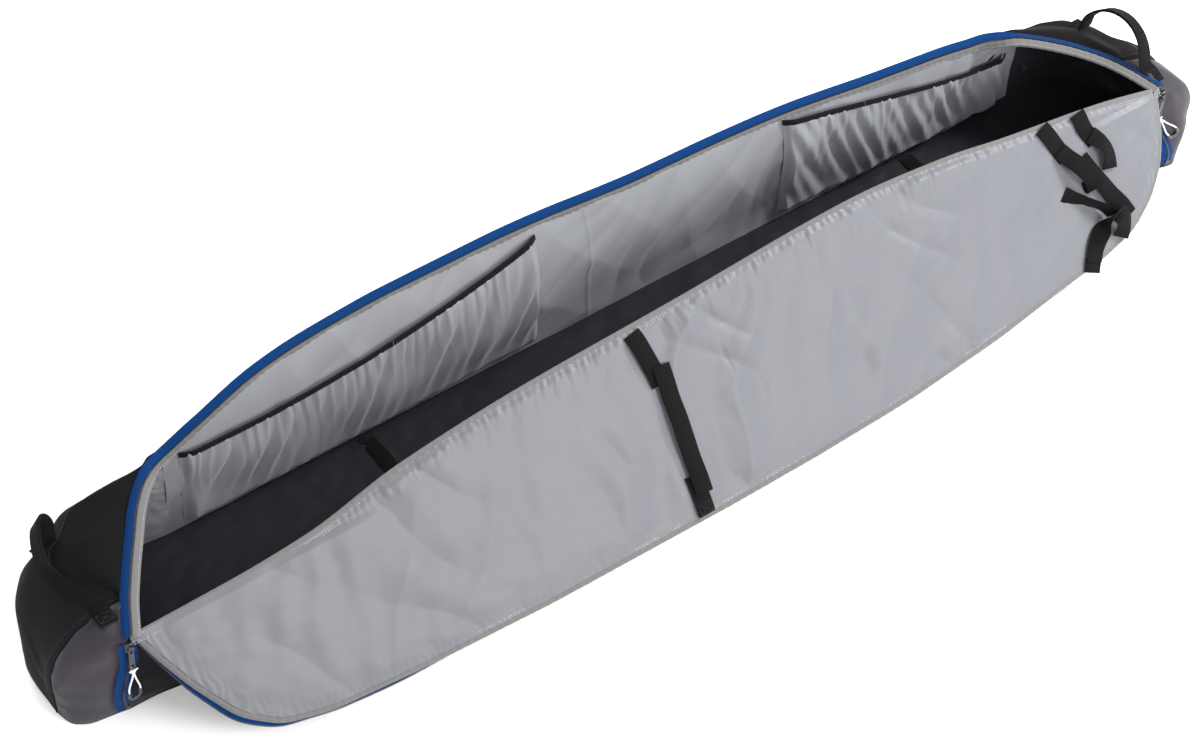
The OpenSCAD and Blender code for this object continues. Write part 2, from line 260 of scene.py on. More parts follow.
BLACK = (0.0045, 0.004, 0.0044)
CHARCOAL = (0.0105, 0.0093, 0.0108)
SLATE = (0.0235, 0.0195, 0.0268)
LINING = (0.172, 0.177, 0.193)
LID_LINING = (0.107, 0.110, 0.1225)
DARK_LINING = (0.014, 0.0146, 0.0185)
BINDING = (0.118, 0.115, 0.114)
BLUE = (0.0003, 0.0235, 0.098)
WEBBING = (0.0034, 0.003, 0.0032)
THREAD = (0.42, 0.42, 0.43)
DARK_THREAD = (0.03, 0.03, 0.034)
CORD_WHITE = (0.72, 0.71, 0.72)
COIL = (0.012, 0.016, 0.03)
HARDWARE = (0.012, 0.012, 0.013)
BOARD = (0.45, 0.42, 0.36)

shell_black = fabric("shell_black", BLACK, 1.1 * MM, 0.86, 0.02, gloss=0.06)
shell_charcoal = fabric("shell_charcoal", CHARCOAL, 1.1 * MM, 0.86, 0.02, gloss=0.06)
shell_slate = fabric("shell_slate", SLATE, 1.1 * MM, 0.72, 0.12, gloss=0.3)
lining_cloth = fabric("lining_cloth", LINING, 0.7 * MM, 0.5, 0.15, 0.08, 0.2, gloss=0.35)
lid_cloth = fabric("lid_cloth", LID_LINING, 0.7 * MM, 0.5, 0.15, 0.06, 0.2, gloss=0.35)
dark_cloth = fabric("dark_cloth", DARK_LINING, 0.7 * MM, 0.5, 0.06, 0.1, 0.2)
binding_cloth = fabric("binding_cloth", BINDING, 0.9 * MM, 0.8, 0.3, 0.12, 0.4, ribs=True)
zip_cloth = fabric("zip_cloth", BLUE, 0.8 * MM, 0.75, 0.02, 0.15, 0.4, ribs=True, gloss=0.06)
webbing_cloth = fabric("webbing_cloth", WEBBING, 1.6 * MM, 0.82, 0.02, 0.25, 0.7, ribs=True, gloss=0.08)
elastic_cloth = fabric("elastic_cloth", WEBBING, 1.2 * MM, 0.8, 0.05, 0.2, 0.6, ribs=True)
thread_cloth = fabric("thread_cloth", THREAD, 0.5 * MM, 0.6, 0.2, 0.1, 0.3)
dark_thread = fabric("dark_thread", DARK_THREAD, 0.5 * MM, 0.6, 0.2, 0.1, 0.3)
cord_cloth = fabric("cord_cloth", CORD_WHITE, 0.8 * MM, 0.6, 0.2, 0.08, 0.5, uv=False)
coil_plastic = plastic("coil_plastic", COIL, 0.3)
black_plastic = plastic("black_plastic", HARDWARE, 0.35)
board_sheet = plastic("board_sheet", BOARD, 0.6, 0.0)


# ---------- curves and noise ----------

def unit(vectors):
    vectors = np.asarray(vectors, float)
    return vectors / np.maximum(np.linalg.norm(vectors, axis=-1, keepdims=True), 1e-9)


def through(points):
    """A smooth function through (x, value) points that never overshoots them."""
    xs = np.array([p[0] for p in points], float)
    ys = np.array([p[1] for p in points], float)
    h = np.diff(xs)
    slope = np.diff(ys) / h
    m = np.zeros_like(ys)
    same = slope[:-1] * slope[1:] > 0
    w1, w2 = 2 * h[1:] + h[:-1], h[1:] + 2 * h[:-1]
    m[1:-1][same] = ((w1 + w2) / (w1 / np.where(same, slope[:-1], 1) + w2 / np.where(same, slope[1:], 1)))[same]
    m[0], m[-1] = slope[0], slope[-1]

    def value(x):
        x = np.clip(x, xs[0], xs[-1])
        i = np.clip(np.searchsorted(xs, x, side="right") - 1, 0, len(h) - 1)
        t = (x - xs[i]) / h[i]
        return (ys[i] * (1 + 2 * t) * (1 - t) ** 2 + h[i] * m[i] * t * (1 - t) ** 2
                + ys[i + 1] * t * t * (3 - 2 * t) + h[i] * m[i + 1] * t * t * (t - 1))
    return value


def ease(t):
    t = np.clip(t, 0, 1)
    return t * t * (3 - 2 * t)


WAVES = 9


def ripple(seed, a, b, wavelength, spread=0.5, along=None):
    """Smooth random relief of about unit height over the plane (a, b), of the given wavelength.
    along turns every wave to within a small angle of one direction, which makes folds instead of dents."""
    rng = np.random.default_rng(seed)
    total = np.zeros(np.broadcast(a, b).shape)
    for _ in range(WAVES):
        angle = rng.uniform(0, 2 * math.pi) if along is None else along + rng.normal(0, 0.22)
        k = 2 * math.pi / (wavelength * rng.uniform(1 - spread, 1 + spread))
        total += np.sin(k * (a * math.cos(angle) + b * math.sin(angle)) + rng.uniform(0, 2 * math.pi))
    return total / math.sqrt(WAVES / 2)


def run_length(points):
    return np.concatenate([[0], np.cumsum(np.linalg.norm(np.diff(points, axis=0), axis=1))])


def rows_at(at, given_at, rows):
    """Rows of numbers given at some places, read between them at others."""
    return np.stack([np.interp(at, given_at, column) for column in rows.T], axis=1)


def evenly(length, step):
    """Places about step apart along a length, both ends included."""
    return np.linspace(0, length, max(int(round(length / step)), 2) + 1)


def resample(points, step):
    """Points spaced evenly, about step apart, along a polyline."""
    points = np.asarray(points, float)
    length = run_length(points)
    return rows_at(evenly(length[-1], step), length, points)


def soften(values, width, step):
    """Moving average along a sampled curve, with its ends held."""
    n = max(int(width / step / 2), 1)
    values = np.asarray(values, float)
    padded = np.concatenate([2 * values[:1] - values[n:0:-1], values, 2 * values[-1:] - values[-2:-n - 2:-1]])
    window = np.hanning(2 * n + 3)[1:-1]
    window /= window.sum()
    return np.stack([np.convolve(padded[:, i], window, "valid") for i in range(values.shape[1])], axis=1)


def tangents(points):
    return unit(np.gradient(np.asarray(points, float), axis=0))


# ---------- meshes ----------

def new_object(name, verts, faces, material, uvs=None, sharp=50):
    mesh = bpy.data.meshes.new(name)
    mesh.from_pydata([tuple(v) for v in verts], [], [tuple(int(i) for i in f) for f in faces])
    mesh.materials.append(material)
    if uvs is not None:
        layer = mesh.uv_layers.new(name="UVMap")
        index = np.empty(len(mesh.loops), int)
        mesh.loops.foreach_get("vertex_index", index)
        layer.data.foreach_set("uv", np.asarray(uvs, np.float32)[index].ravel())
    mesh.shade_smooth()
    mesh.set_sharp_from_angle(angle=math.radians(sharp))
    mesh.update()
    obj = bpy.data.objects.new(name, mesh)
    bpy.context.scene.collection.objects.link(obj)
    return obj


def grid_normals(grid):
    du = np.gradient(grid, axis=0)
    dv = np.gradient(grid, axis=1)
    return unit(np.cross(du, dv))


def grid_uv(u, v):
    return np.stack(np.meshgrid(u, v, indexing="ij"), axis=2).reshape(-1, 2)


def ring_faces(count, around, closed_ends=True):
    """Faces that join rings of points into a tube, whose ends are closed or else joined to each other."""
    ids = np.arange(count * around).reshape(count, around)
    after = np.roll(ids, -1, axis=1)
    faces = [list(f) for f in np.stack([ids[:-1], after[:-1], after[1:], ids[1:]], axis=2).reshape(-1, 4)]
    if closed_ends:
        return faces + [list(ids[0][::-1]), list(ids[-1])]
    return faces + [list(f) for f in np.stack([ids[-1], after[-1], after[0], ids[0]], axis=1)]


def cloth_panel(name, grid, material, thick=THIN, flip=False):
    """A closed thin sheet over a grid of points. The grid is its outer face, and the sheet lies behind it."""
    grid = np.asarray(grid, float)
    nu, nv = grid.shape[:2]
    side = -1 if flip else 1
    under = grid - grid_normals(grid) * thick * side
    u_len = np.concatenate([[0], np.cumsum(np.linalg.norm(np.diff(grid, axis=0), axis=2).mean(axis=1))])
    v_len = np.concatenate([[0], np.cumsum(np.linalg.norm(np.diff(grid, axis=1), axis=2).mean(axis=0))])
    uv = grid_uv(u_len, v_len)
    ids = np.arange(nu * nv).reshape(nu, nv)
    top = np.stack([ids[:-1, :-1], ids[1:, :-1], ids[1:, 1:], ids[:-1, 1:]], axis=2).reshape(-1, 4)
    if flip:
        top = top[:, ::-1]
    bottom = top[:, ::-1] + nu * nv
    rim = np.concatenate([ids[:-1, 0], ids[-1, :-1], ids[:0:-1, -1], ids[0, :0:-1]])
    after = np.roll(rim, -1)
    wall = np.stack([after, rim, rim + nu * nv, after + nu * nv], axis=1)
    if flip:
        wall = wall[:, ::-1]
    verts = np.concatenate([grid.reshape(-1, 3), under.reshape(-1, 3)])
    return new_object(name, verts, np.concatenate([top, bottom, wall]), material, np.concatenate([uv, uv]))


def round_length(outline):
    """Distance round a closed outline to each of its points."""
    return run_length(np.concatenate([outline, outline[:1]]))[:-1]


def swept(name, path, across, up, outline, material):
    """Sweeps a closed outline of (across, up) offsets along a path, with flat ends."""
    path = np.asarray(path, float)
    across = np.broadcast_to(across, path.shape)
    up = np.broadcast_to(up, path.shape)
    outline = np.asarray(outline, float)
    rings = (path[:, None] + across[:, None] * outline[None, :, :1] + up[:, None] * outline[None, :, 1:2])
    uv = grid_uv(run_length(path), round_length(outline))
    return new_object(name, rings.reshape(-1, 3), ring_faces(len(path), len(outline)), material, uv)


def tape_outline(width, thick, steps):
    """Cross-section of webbing or tape: flat faces with rounded edges."""
    r = thick / 2
    half = width / 2 - r
    angles = np.linspace(-math.pi / 2, math.pi / 2, steps + 1)
    right = [(half + r * math.cos(a), r * math.sin(a)) for a in angles]
    left = [(-half - r * math.cos(a), -r * math.sin(a)) for a in angles]
    return right + left


def ring_outline(radius, steps):
    angles = np.linspace(0, 2 * math.pi, steps, endpoint=False)
    return [(radius * math.cos(a), radius * math.sin(a)) for a in angles]


def joined(name, parts):
    """One object from several, keeping each part's material."""
    bpy.ops.object.select_all(action="DESELECT")
    for part in parts:
        part.select_set(True)
    bpy.context.view_layer.objects.active = parts[0]
    bpy.ops.object.join()
    parts[0].name = name
    parts[0].data.name = name
    return parts[0]


def stamped(name, places, x_axis, y_axis, z_axis, size, material, taper=0.6):
    """One small bevelled block at each place, joined in one mesh: stitches, zip teeth and the like."""
    places, x_axis, y_axis, z_axis = (np.broadcast_to(np.asarray(a, float), np.shape(places))
                                      for a in (places, x_axis, y_axis, z_axis))
    corners = []
    for z in (-0.5, 0.5):
        k = taper if z > 0 else 1
        corners += [(x * k, y * k, z) for x, y in ((-0.5, -0.5), (0.5, -0.5), (0.5, 0.5), (-0.5, 0.5))]
    corners = np.array(corners) * np.array(size)
    verts = (places[:, None] + x_axis[:, None] * corners[None, :, :1] + y_axis[:, None] * corners[None, :, 1:2]
             + z_axis[:, None] * corners[None, :, 2:3])
    block = np.array([(3, 2, 1, 0), (4, 5, 6, 7), (0, 1, 5, 4), (1, 2, 6, 5), (2, 3, 7, 6), (3, 0, 4, 7)])
    faces = (block[None] + 8 * np.arange(len(places))[:, None, None]).reshape(-1, 4)
    uv = np.tile(corners[:, :2], (len(places), 1))
    return new_object(name, verts.reshape(-1, 3), faces, material, uv, sharp=35)


# Length, pitch and width of the stitches along seams and round bindings, and in sewn boxes
SEAM_STITCH = (3 * MM, 4.5 * MM, 0.6 * MM)
EDGE_STITCH = (3 * MM, 4.6 * MM, 0.7 * MM)
FINE_STITCH = (3 * MM, 4.6 * MM, 0.6 * MM)
BOX_STITCH = (1.8 * MM, 2.6 * MM, 0.5 * MM)
STITCH_HIGH = 0.7 * MM


def stitches(name, path, normal, material, size, lift=0.25 * MM):
    """A line of stitches along a path on a surface."""
    length, pitch, width = size
    points = resample(path, pitch)
    middle = (points[1:] + points[:-1]) / 2
    along = unit(points[1:] - points[:-1])
    normal = np.asarray(normal, float)
    if normal.ndim == 2:
        at = np.linspace(0, len(normal) - 1, len(middle))
        normal = rows_at(at, np.arange(len(normal)), normal)
    normal = unit(np.broadcast_to(normal, middle.shape))
    across = unit(np.cross(normal, along))
    return stamped(name, middle + normal * lift, along, across, normal, (length, width, STITCH_HIGH),
                   material)


def place(obj, body, slot, *nodes):
    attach(obj, body)
    if nodes:
        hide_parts(*nodes)


# ---------- the bag's own curves ----------

RISE = 1.0 * MM
FLARE = math.radians(28)  # how far the back leans out above its straight part
FLARE_START, FLARE_LENGTH = HINGE_Z - 0.07, 0.13
LINER_DEPTH = 7.0 * MM  # from the outer face of the back to its lining
_heights = np.arange(0, 0.32, RISE)
_lean = FLARE * ease((_heights - FLARE_START) / FLARE_LENGTH)
_wall_y = HALF_W + np.concatenate([[0], np.cumsum(np.sin(_lean[:-1]))]) * RISE
_wall_z = np.concatenate([[0], np.cumsum(np.cos(_lean[:-1]))]) * RISE


def back_at(x, h, depth):
    """A point of the back wall: h up its curved profile, and depth inside its outer face."""
    lean = np.interp(h, _heights, _lean)
    tuck = 0.004 * (1 - ease(np.asarray(h) / 0.06))
    y = np.interp(h, _heights, _wall_y) - depth * np.cos(lean) - tuck
    z = np.interp(h, _heights, _wall_z) + depth * np.sin(lean)
    x, y, z = np.broadcast_arrays(x, y, z)
    return np.stack([x, y, z], axis=-1)


crown_rise = through([(-0.713, 0), (-0.701, 0.004), (-0.674, 0.0144), (-0.648, 0.0225), (-0.622, 0.0315),
                      (-0.595, 0.0404), (-0.569, 0.048), (-0.544, 0.0532), (-0.494, 0.061), (-0.419, 0.0669),
                      (-0.344, 0.0705), (-0.17, 0.0707), (-0.066, 0.0668), (0.002, 0.0612), (0.09, 0.0553),
                      (0.216, 0.052), (0.289, 0.049), (0.363, 0.0442), (0.437, 0.036), (0.512, 0.0265),
                      (0.589, 0.0182), (0.667, 0.0095), (0.722, 0)])
CROWN_X = (-0.713, 0.722)
SLANTS = {  # plan of the opening's two slanting ends, as (x, y)
    -1: [(-0.904, -0.115), (-0.877, -0.064), (-0.845, -0.016), (-0.817, 0.023), (-0.796, 0.053), (-0.777, 0.075),
         (-0.759, 0.093), (-0.738, 0.109)],
    1: [(0.74, 0.117), (0.768, 0.104), (0.793, 0.085), (0.82, 0.059), (0.844, 0.031), (0.866, -0.001),
        (0.881, -0.03), (0.89, -0.055), (0.896, -0.077), (0.9, -0.096), (0.904, -0.115)],
}
ridge_rise = through([(-HINGE_X, 0.0), (-0.74, 0.002), (-0.63, 0.008), (-0.47, 0.034), (-0.26, 0.05), (0, 0.058),
                      (0.32, 0.069), (0.5, 0.058), (0.6, 0.044), (0.79, 0.021), (HINGE_X, 0)])
CROWN_BASE = back_at(0, HINGE_Z, 0)
CROWN_AXIS = (0, math.sin(FLARE), math.cos(FLARE))
LID_UP = np.array([0, -SLANT, SLANT])
LID_OUT = np.array([0, -SLANT, -SLANT])


def lid_at(x, s, up):
    """A point of the open lid: s out from the hinge line, and up above the face of its lining."""
    x, s, up = np.broadcast_arrays(np.asarray(x, float), s, up)
    base = np.stack([x, np.full(x.shape, -HALF_W), np.full(x.shape, HINGE_Z)], axis=-1)
    return base + LID_OUT * s[..., None] + LID_UP * up[..., None]


def rim_path():
    """The open zip's line on the body: up one slanting end, along the crown and down the other end."""
    xs = np.linspace(*CROWN_X, 80)
    crown = back_at(xs, HINGE_Z + crown_rise(xs), 0.0035)
    left, right = ([(x, y, HINGE_Z + 0.001) for x, y in SLANTS[side]] for side in (-1, 1))
    points = resample(np.concatenate([left, crown, right]), STEP)
    return soften(points, 0.05, STEP)


RIM = rim_path()
_along_rim = tangents(RIM)
_above = (RIM - CROWN_BASE) @ np.array(CROWN_AXIS)
_on_crown = ease((RIM[:, 1] - 0.085) / 0.03)[:, None]
RIM_NORMAL = unit(soften((1 - _on_crown) * np.array([0, 0, 1.0])
                         + _on_crown * np.array([0, -math.cos(FLARE), math.sin(FLARE)]), 0.06, STEP))
RIM_OUT = unit(np.cross(RIM_NORMAL, _along_rim))
_centre = np.array([0.0, 0.0, HINGE_Z - 0.3])
if np.mean(np.sum(RIM_OUT * (RIM - _centre), axis=1)) < 0:
    RIM_OUT = -RIM_OUT
_rising = np.nonzero(_above > 0.0005)[0]
CROWN_FIRST, CROWN_LAST = _rising[0], _rising[-1]
JOIN_LEFT, JOIN_RIGHT = RIM[CROWN_FIRST][0], RIM[CROWN_LAST][0]


def squash_crown(obj):
    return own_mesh(obj)


def squash_ridge(obj):
    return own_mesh(obj)


# ---------- ends of the bag ----------

OUTLINES = {  # plan of each end from the front corner round the nose to the back wall
    -1: [(-0.904, -0.1155), (-0.93, -0.109), (-0.958, -0.099), (-0.980, -0.083), (-0.987, -0.055), (-0.985, -0.015),
         (-0.980, 0.025), (-0.970, 0.058), (-0.952, 0.086), (-0.921, 0.104), (-0.882, 0.1135), (-0.84, 0.1165),
         (-0.78, 0.117), (JOIN_LEFT, 0.1165)],
    1: [(0.904, -0.1165), (0.93, -0.124), (0.96, -0.128), (0.983, -0.119), (0.992, -0.088), (0.99, -0.045),
        (0.983, 0.0), (0.968, 0.045), (0.95, 0.08), (0.922, 0.103), (0.88, 0.114), (0.83, 0.1165),
        (JOIN_RIGHT, 0.1165)],
}
SEAM_Y = -0.055
ROWS_WALL, ROWS_ARC, ROWS_TOP = 16, 12, 10  # up the wall, over the shoulder and in to the opening
ZIP_STRAIGHT = 0.125  # above this height a closed zip runs straight
DROOP = 0.026
BATTER_CURVE = 2.2
BACK_CORNER = 0.72  # where along an outline the end's face gives way to the back
PALE_FROM = 0.80  # where along an outline the lining turns from dark to pale
END_LINER_DEPTH = 6.5 * MM
PIPING_STEP = 3 * MM
NOSE = 0.37  # where along an outline the left end swells at its foot
ZIP_CORNER = (0.80, 0.104)  # where walls start to follow a zip that strays, and how far it takes
shoulder_in = through([(0, 0.010), (0.12, 0.06), (0.27, 0.088), (0.38, 0.062), (0.5, 0.046), (0.62, 0.040),
                       (0.75, 0.022), (1, 0.008)])
shoulder_down = through([(0, 0.015), (0.12, 0.07), (0.27, 0.105), (0.38, 0.075), (0.5, 0.058), (0.62, 0.052),
                         (0.75, 0.03), (1, 0.012)])
reach_along = through([(0, 0), (0.1, 0.10), (0.27, 0.24), (0.45, 0.47), (0.6, 0.66), (0.75, 0.83), (1, 1)])


def zip_drift(side, z):
    """How far each closed zip strays from a straight line between the hinge corner and the floor, as (x, y):
    the left one bows outwards half-way up, and the right one splays at its foot."""
    if side < 0:
        bow = np.sin(math.pi * np.clip((ZIP_STRAIGHT - z) / ZIP_STRAIGHT, 0, 1))
        return -0.012 * bow, 0.010 * ease((0.09 - z) / 0.09)
    splay = ease((ZIP_STRAIGHT - z) / 0.1)
    return 0.033 * splay, -0.021 * splay


def near_corner(side, x):
    """0 along the front wall, rising to 1 at the corner where it meets a closed zip."""
    return ease((side * x - ZIP_CORNER[0]) / ZIP_CORNER[1])


def end_grid(side, inset=0.0, columns=150):
    """One end of the bag as a grid: columns from the front zip round the nose to the back, rows from the
    floor up over the shoulder to the opening. Returns it with the column of the slate panel's seam and each
    column's place along the outline, from 0 to 1."""
    edge = RIM[:CROWN_FIRST + 1] if side < 0 else RIM[CROWN_LAST:][::-1]
    raw = np.array([(x, y, 0) for x, y in OUTLINES[side]])
    outline = soften(resample(raw, 1 * MM), 0.035, 1 * MM)
    t = run_length(outline) / run_length(outline)[-1]
    across = np.cross(tangents(outline), [0, 0, 1])
    if np.sum(across[len(across) // 2] * np.array([side, 0, 0])) > 0:
        across = -across
    outline = outline + across * inset
    seam_t = t[np.nonzero(outline[:, 1] < SEAM_Y)[0][-1]]
    at = np.unique(np.concatenate([np.linspace(0, seam_t, int(columns * seam_t) + 2),
                                   np.linspace(seam_t, 1, int(columns * (1 - seam_t)) + 2)]))
    c = rows_at(at, t, outline[:, :2])
    edge_t = run_length(edge) / run_length(edge)[-1]
    e_at = reach_along(at)
    e = rows_at(e_at, edge_t, edge)
    inward = e[:, :2] - c
    dist = np.linalg.norm(inward, axis=1)
    normal_in = rows_at(at, t, across[:, :2])
    inward = np.where(dist[:, None] > 0.004, inward / np.maximum(dist[:, None], 1e-6), normal_in)
    a = np.minimum(shoulder_in(at) - 0.3 * inset, 0.8 * dist)
    b = shoulder_down(at) * np.clip(a / shoulder_in(at) + 0.25, 0, 1)
    top = HINGE_Z - 0.003 - inset
    rows = []
    foot = 0.004 * ease(np.minimum((at - 0.1) / 0.2, (0.8 - at) / 0.2)) + 0.001
    batter = (0.004 if side > 0 else 0.021) * ease(np.minimum((at - 0.05) / 0.12, (0.70 - at) / 0.14))
    near_zip = 1 - ease(at / 0.16)
    flare = (0.008 if side < 0 else 0.0) * np.exp(-((at - NOSE) / 0.12) ** 2)
    for v in np.linspace(0, 1, ROWS_WALL, endpoint=False):
        z = inset + (top - b - inset) * v
        belly = 0.004 * np.sin(math.pi * np.clip(z / top, 0, 1)) * ease(at / 0.12)
        tuck = foot * (1 - ease(z / 0.09)) - flare * (1 - ease(z / 0.12)) - belly
        tuck = tuck + batter * np.clip(z / top, 0, 1) ** BATTER_CURVE
        drift = np.column_stack(zip_drift(side, z)) * near_zip[:, None]
        rows.append(np.column_stack([c + normal_in * tuck[:, None] + drift, z]))
    for v in np.linspace(0, 1, ROWS_ARC, endpoint=False):
        angle = v * math.pi / 2
        step_in = a * (1 - math.cos(angle) ** 0.9)
        z = top - b + b * math.sin(angle) ** 0.9
        bulge = -0.004 * np.sin(math.pi * np.clip(z / top, 0, 1)) * ease(at / 0.12)
        bulge = bulge + batter * np.clip(z / top, 0, 1) ** BATTER_CURVE
        rows.append(np.column_stack([c + inward * step_in[:, None] + normal_in * bulge[:, None], z]))
    start = np.column_stack([c + inward * a[:, None] + normal_in * batter[:, None], np.full(len(at), top)])
    goal = e.copy()
    goal[:, 2] -= inset * 0.8
    for v in np.linspace(0, 1, ROWS_TOP):
        dome = 0.005 * np.sin(math.pi * v) * np.clip(dist / 0.1, 0, 1)
        point = start + (goal - start) * v
        point[:, 2] += dome
        rows.append(point)
    grid = np.stack(rows, axis=1)
    if side > 0:
        # The unfilled end sinks away from the opening towards its back corner
        away = np.linalg.norm(grid[:, :, :2] - e[:, None, :2], axis=2) / np.maximum(dist, 0.02)[:, None]
        sunk = ease((at - 0.22) / 0.25) * (1 - ease((at - 0.9) / 0.1)) * np.clip(dist / 0.05, 0, 1)
        grid[:, :, 2] -= DROOP * sunk[:, None] * ease(away / 0.85) * np.clip(grid[:, :, 2] / top, 0, 1)
    join = ease((at - 0.86) / 0.14)[:, None, None]
    lengths = np.linspace(0, 1, grid.shape[1])[None, :] * (HINGE_Z + 0.001)
    straight = back_at(c[:, :1], np.repeat(lengths, len(at), axis=0), inset)
    grid = grid * (1 - join) + straight * join
    seam = int(np.argmin(np.abs(at - seam_t)))
    return grid, seam, at


def wrinkled(grid, amount):
    """Moves a grid of points along its normals."""
    return grid + grid_normals(grid) * amount[..., None]


def make_end(side, name):
    """Panels, seam, stitches and lining of one end. Returns its outer and inner grids."""
    grid, seam, at = end_grid(side)
    flip = side < 0
    u = np.broadcast_to(at[:, None] * 0.5, grid.shape[:2])
    v = np.linspace(0, 0.3, grid.shape[1])[None, :]
    slack = np.sin(np.linspace(0, math.pi, grid.shape[1]))[None, :] ** 0.5
    ends_held = ease(np.minimum(at, 1 - at) / 0.05)[:, None]
    dents = ripple(11 + side, u, v, 0.16) * 0.0022 + ripple(21 + side, u, v, 0.07) * 0.0005
    folds = ripple(31 + side, u, v, 0.09, along=0.5) * 0.0007
    grid = wrinkled(grid, side * (dents + folds) * slack * ends_held)
    near_seam = np.exp(-((at - at[seam]) / 0.012) ** 2)[:, None]
    grid = wrinkled(grid, -side * 0.0016 * near_seam * slack)
    pucker = np.sin(v * 2 * math.pi / 0.02 + ripple(5, u * 0, v, 0.1)) * np.exp(
        -((at[:, None] - at[seam] + 0.02) / 0.03) ** 2) * (at[:, None] < at[seam])
    grid = wrinkled(grid, side * 0.0012 * pucker * slack)
    crease = ROWS_WALL + ROWS_ARC - 3
    nose = slice(seam, int(np.argmin(np.abs(at - BACK_CORNER))) + 1)
    for part, patch, material, slot, nodes in (
            ("corner_panel_cloth", grid[:seam + 1], shell_slate, "shell_slate", [f"{name}_corner_panel"]),
            ("end_face", grid[nose, :crease + 1], shell_charcoal, "shell_charcoal", [f"{name}_end_wall"]),
            ("end_cap", grid[nose, crease:], shell_black, "shell_black", [f"{name}_end_top"]),
            ("end_back", grid[nose.stop - 1:], shell_black, "shell_black", [])):
        place(cloth_panel(f"{name}_{part}", patch, material, THICK, flip), "bag", slot, *nodes)
    normals = grid_normals(grid) * side
    seam_line = grid[seam] + normals[seam] * 0.2 * MM
    piping_path = resample(seam_line, PIPING_STEP)
    place(swept(f"{name}_seam_piping", piping_path,
                *side_frame(piping_path, resample_like(normals[seam], seam_line, PIPING_STEP)),
                ring_outline(1.1 * MM, 8), shell_black), "bag", "shell_black")
    place(stitches(f"{name}_seam_stitches", grid[seam + 4] + normals[seam + 4] * 0.1 * MM, normals[seam + 4],
                   dark_thread, SEAM_STITCH), "bag", "shell_black")
    crease_line = grid[nose, crease] + normals[nose, crease] * 0.3 * MM
    place(stitches(f"{name}_cap_stitches", crease_line, normals[nose, crease + 1], dark_thread, SEAM_STITCH),
          "bag", "shell_black")
    return grid, make_end_liner(side, name)


def make_end_liner(side, name):
    """The lining of one end: dark round the nose and pale along the back. Returns its grid."""
    grid = end_grid(side, END_LINER_DEPTH, 110)[0]
    u = np.broadcast_to(np.linspace(0, 0.5, grid.shape[0])[:, None], grid.shape[:2])
    v = np.linspace(0, 0.3, grid.shape[1])[None, :]
    slack = np.sin(np.linspace(0, math.pi, grid.shape[1]))[None, :] ** 0.6
    slack = slack * (1 - 0.75 * ease((np.linspace(0, 1, grid.shape[0]) - 0.7) / 0.1))[:, None]
    grid = wrinkled(grid, side * np.abs(ripple(41 + side, u, v, 0.07)) * -0.004 * slack)
    grid = wrinkled(grid, side * np.abs(ripple(43 + side, u, v, 0.03, along=1.2)) * -0.0016 * slack)
    pale = int(len(grid) * PALE_FROM)
    place(cloth_panel(f"{name}_end_liner", grid[:pale + 1], dark_cloth, 1 * MM, side > 0),
          "bag", "lining_dark", f"{name}_end_lining")
    place(cloth_panel(f"{name}_end_liner_back", grid[pale:], lining_cloth, 1 * MM, side > 0), "bag", "lining_grey")
    return grid


def side_frame(path, normal):
    """(across, up) vectors for sweeping along a path that lies on a surface."""
    along = tangents(path)
    across = unit(np.cross(normal, along))
    return across, unit(np.cross(along, across))


def resample_like(values, path, step):
    """Values given at the points of a path, taken at the points that resample gives."""
    length = run_length(path)
    return unit(rows_at(evenly(length[-1], step), length, values))


left_grid, left_inner = make_end(-1, "left")
right_grid, right_inner = make_end(1, "right")

# ---------- walls, crown and ridge ----------


def floor_limits(left, right, x):
    """Front and back limits, at each x, of the closed outline made by the feet of the two ends."""
    outline = np.concatenate([left, right[::-1]])
    ends = np.roll(outline, -1, axis=0)
    low, high = np.full(len(x), 9.0), np.full(len(x), -9.0)
    for (ax, ay), (bx, by) in zip(outline, ends):
        if abs(bx - ax) < 1e-9:
            continue
        t = (x - ax) / (bx - ax)
        y = ay + (by - ay) * t
        hit = (t >= 0) & (t <= 1)
        low = np.where(hit, np.minimum(low, y), low)
        high = np.where(hit, np.maximum(high, y), high)
    return low, high


FOOT_TUCK = 0.003
LINER_INSET = 0.0045  # keeps the floor's layers behind the front wall's foot


def floor_grid(left, right, columns, rows, margin, inset=0.0):
    """A grid of (x, y) that fills the outline of the two feet and the front wall's foot, drawn in by margin."""
    first, last = left[:, 0].min() + margin + 0.0015, right[:, 0].max() - margin - 0.0015
    # Columns crowd together at the noses, where the outline turns
    turn = np.linspace(-1, 1, columns)
    x = (first + last) / 2 + (last - first) / 2 * np.sign(turn) * (1 - (1 - np.abs(turn)) ** 1.25)
    low, high = floor_limits(left, right, x)
    foot = -HALF_W + FOOT_TUCK + inset
    for side in (-1, 1):
        foot = foot + zip_drift(side, 0.0)[1] * near_corner(side, x)
    low = np.where(np.abs(x) < HINGE_X, np.maximum(low, foot), low)
    low, high = low + margin, high - margin
    middle = (low + high) / 2
    low, high = np.minimum(low, middle - 0.001), np.maximum(high, middle + 0.001)
    v = np.linspace(0, 1, rows)[None, :]
    return np.broadcast_to(x[:, None], (columns, rows)), low[:, None] * (1 - v) + high[:, None] * v


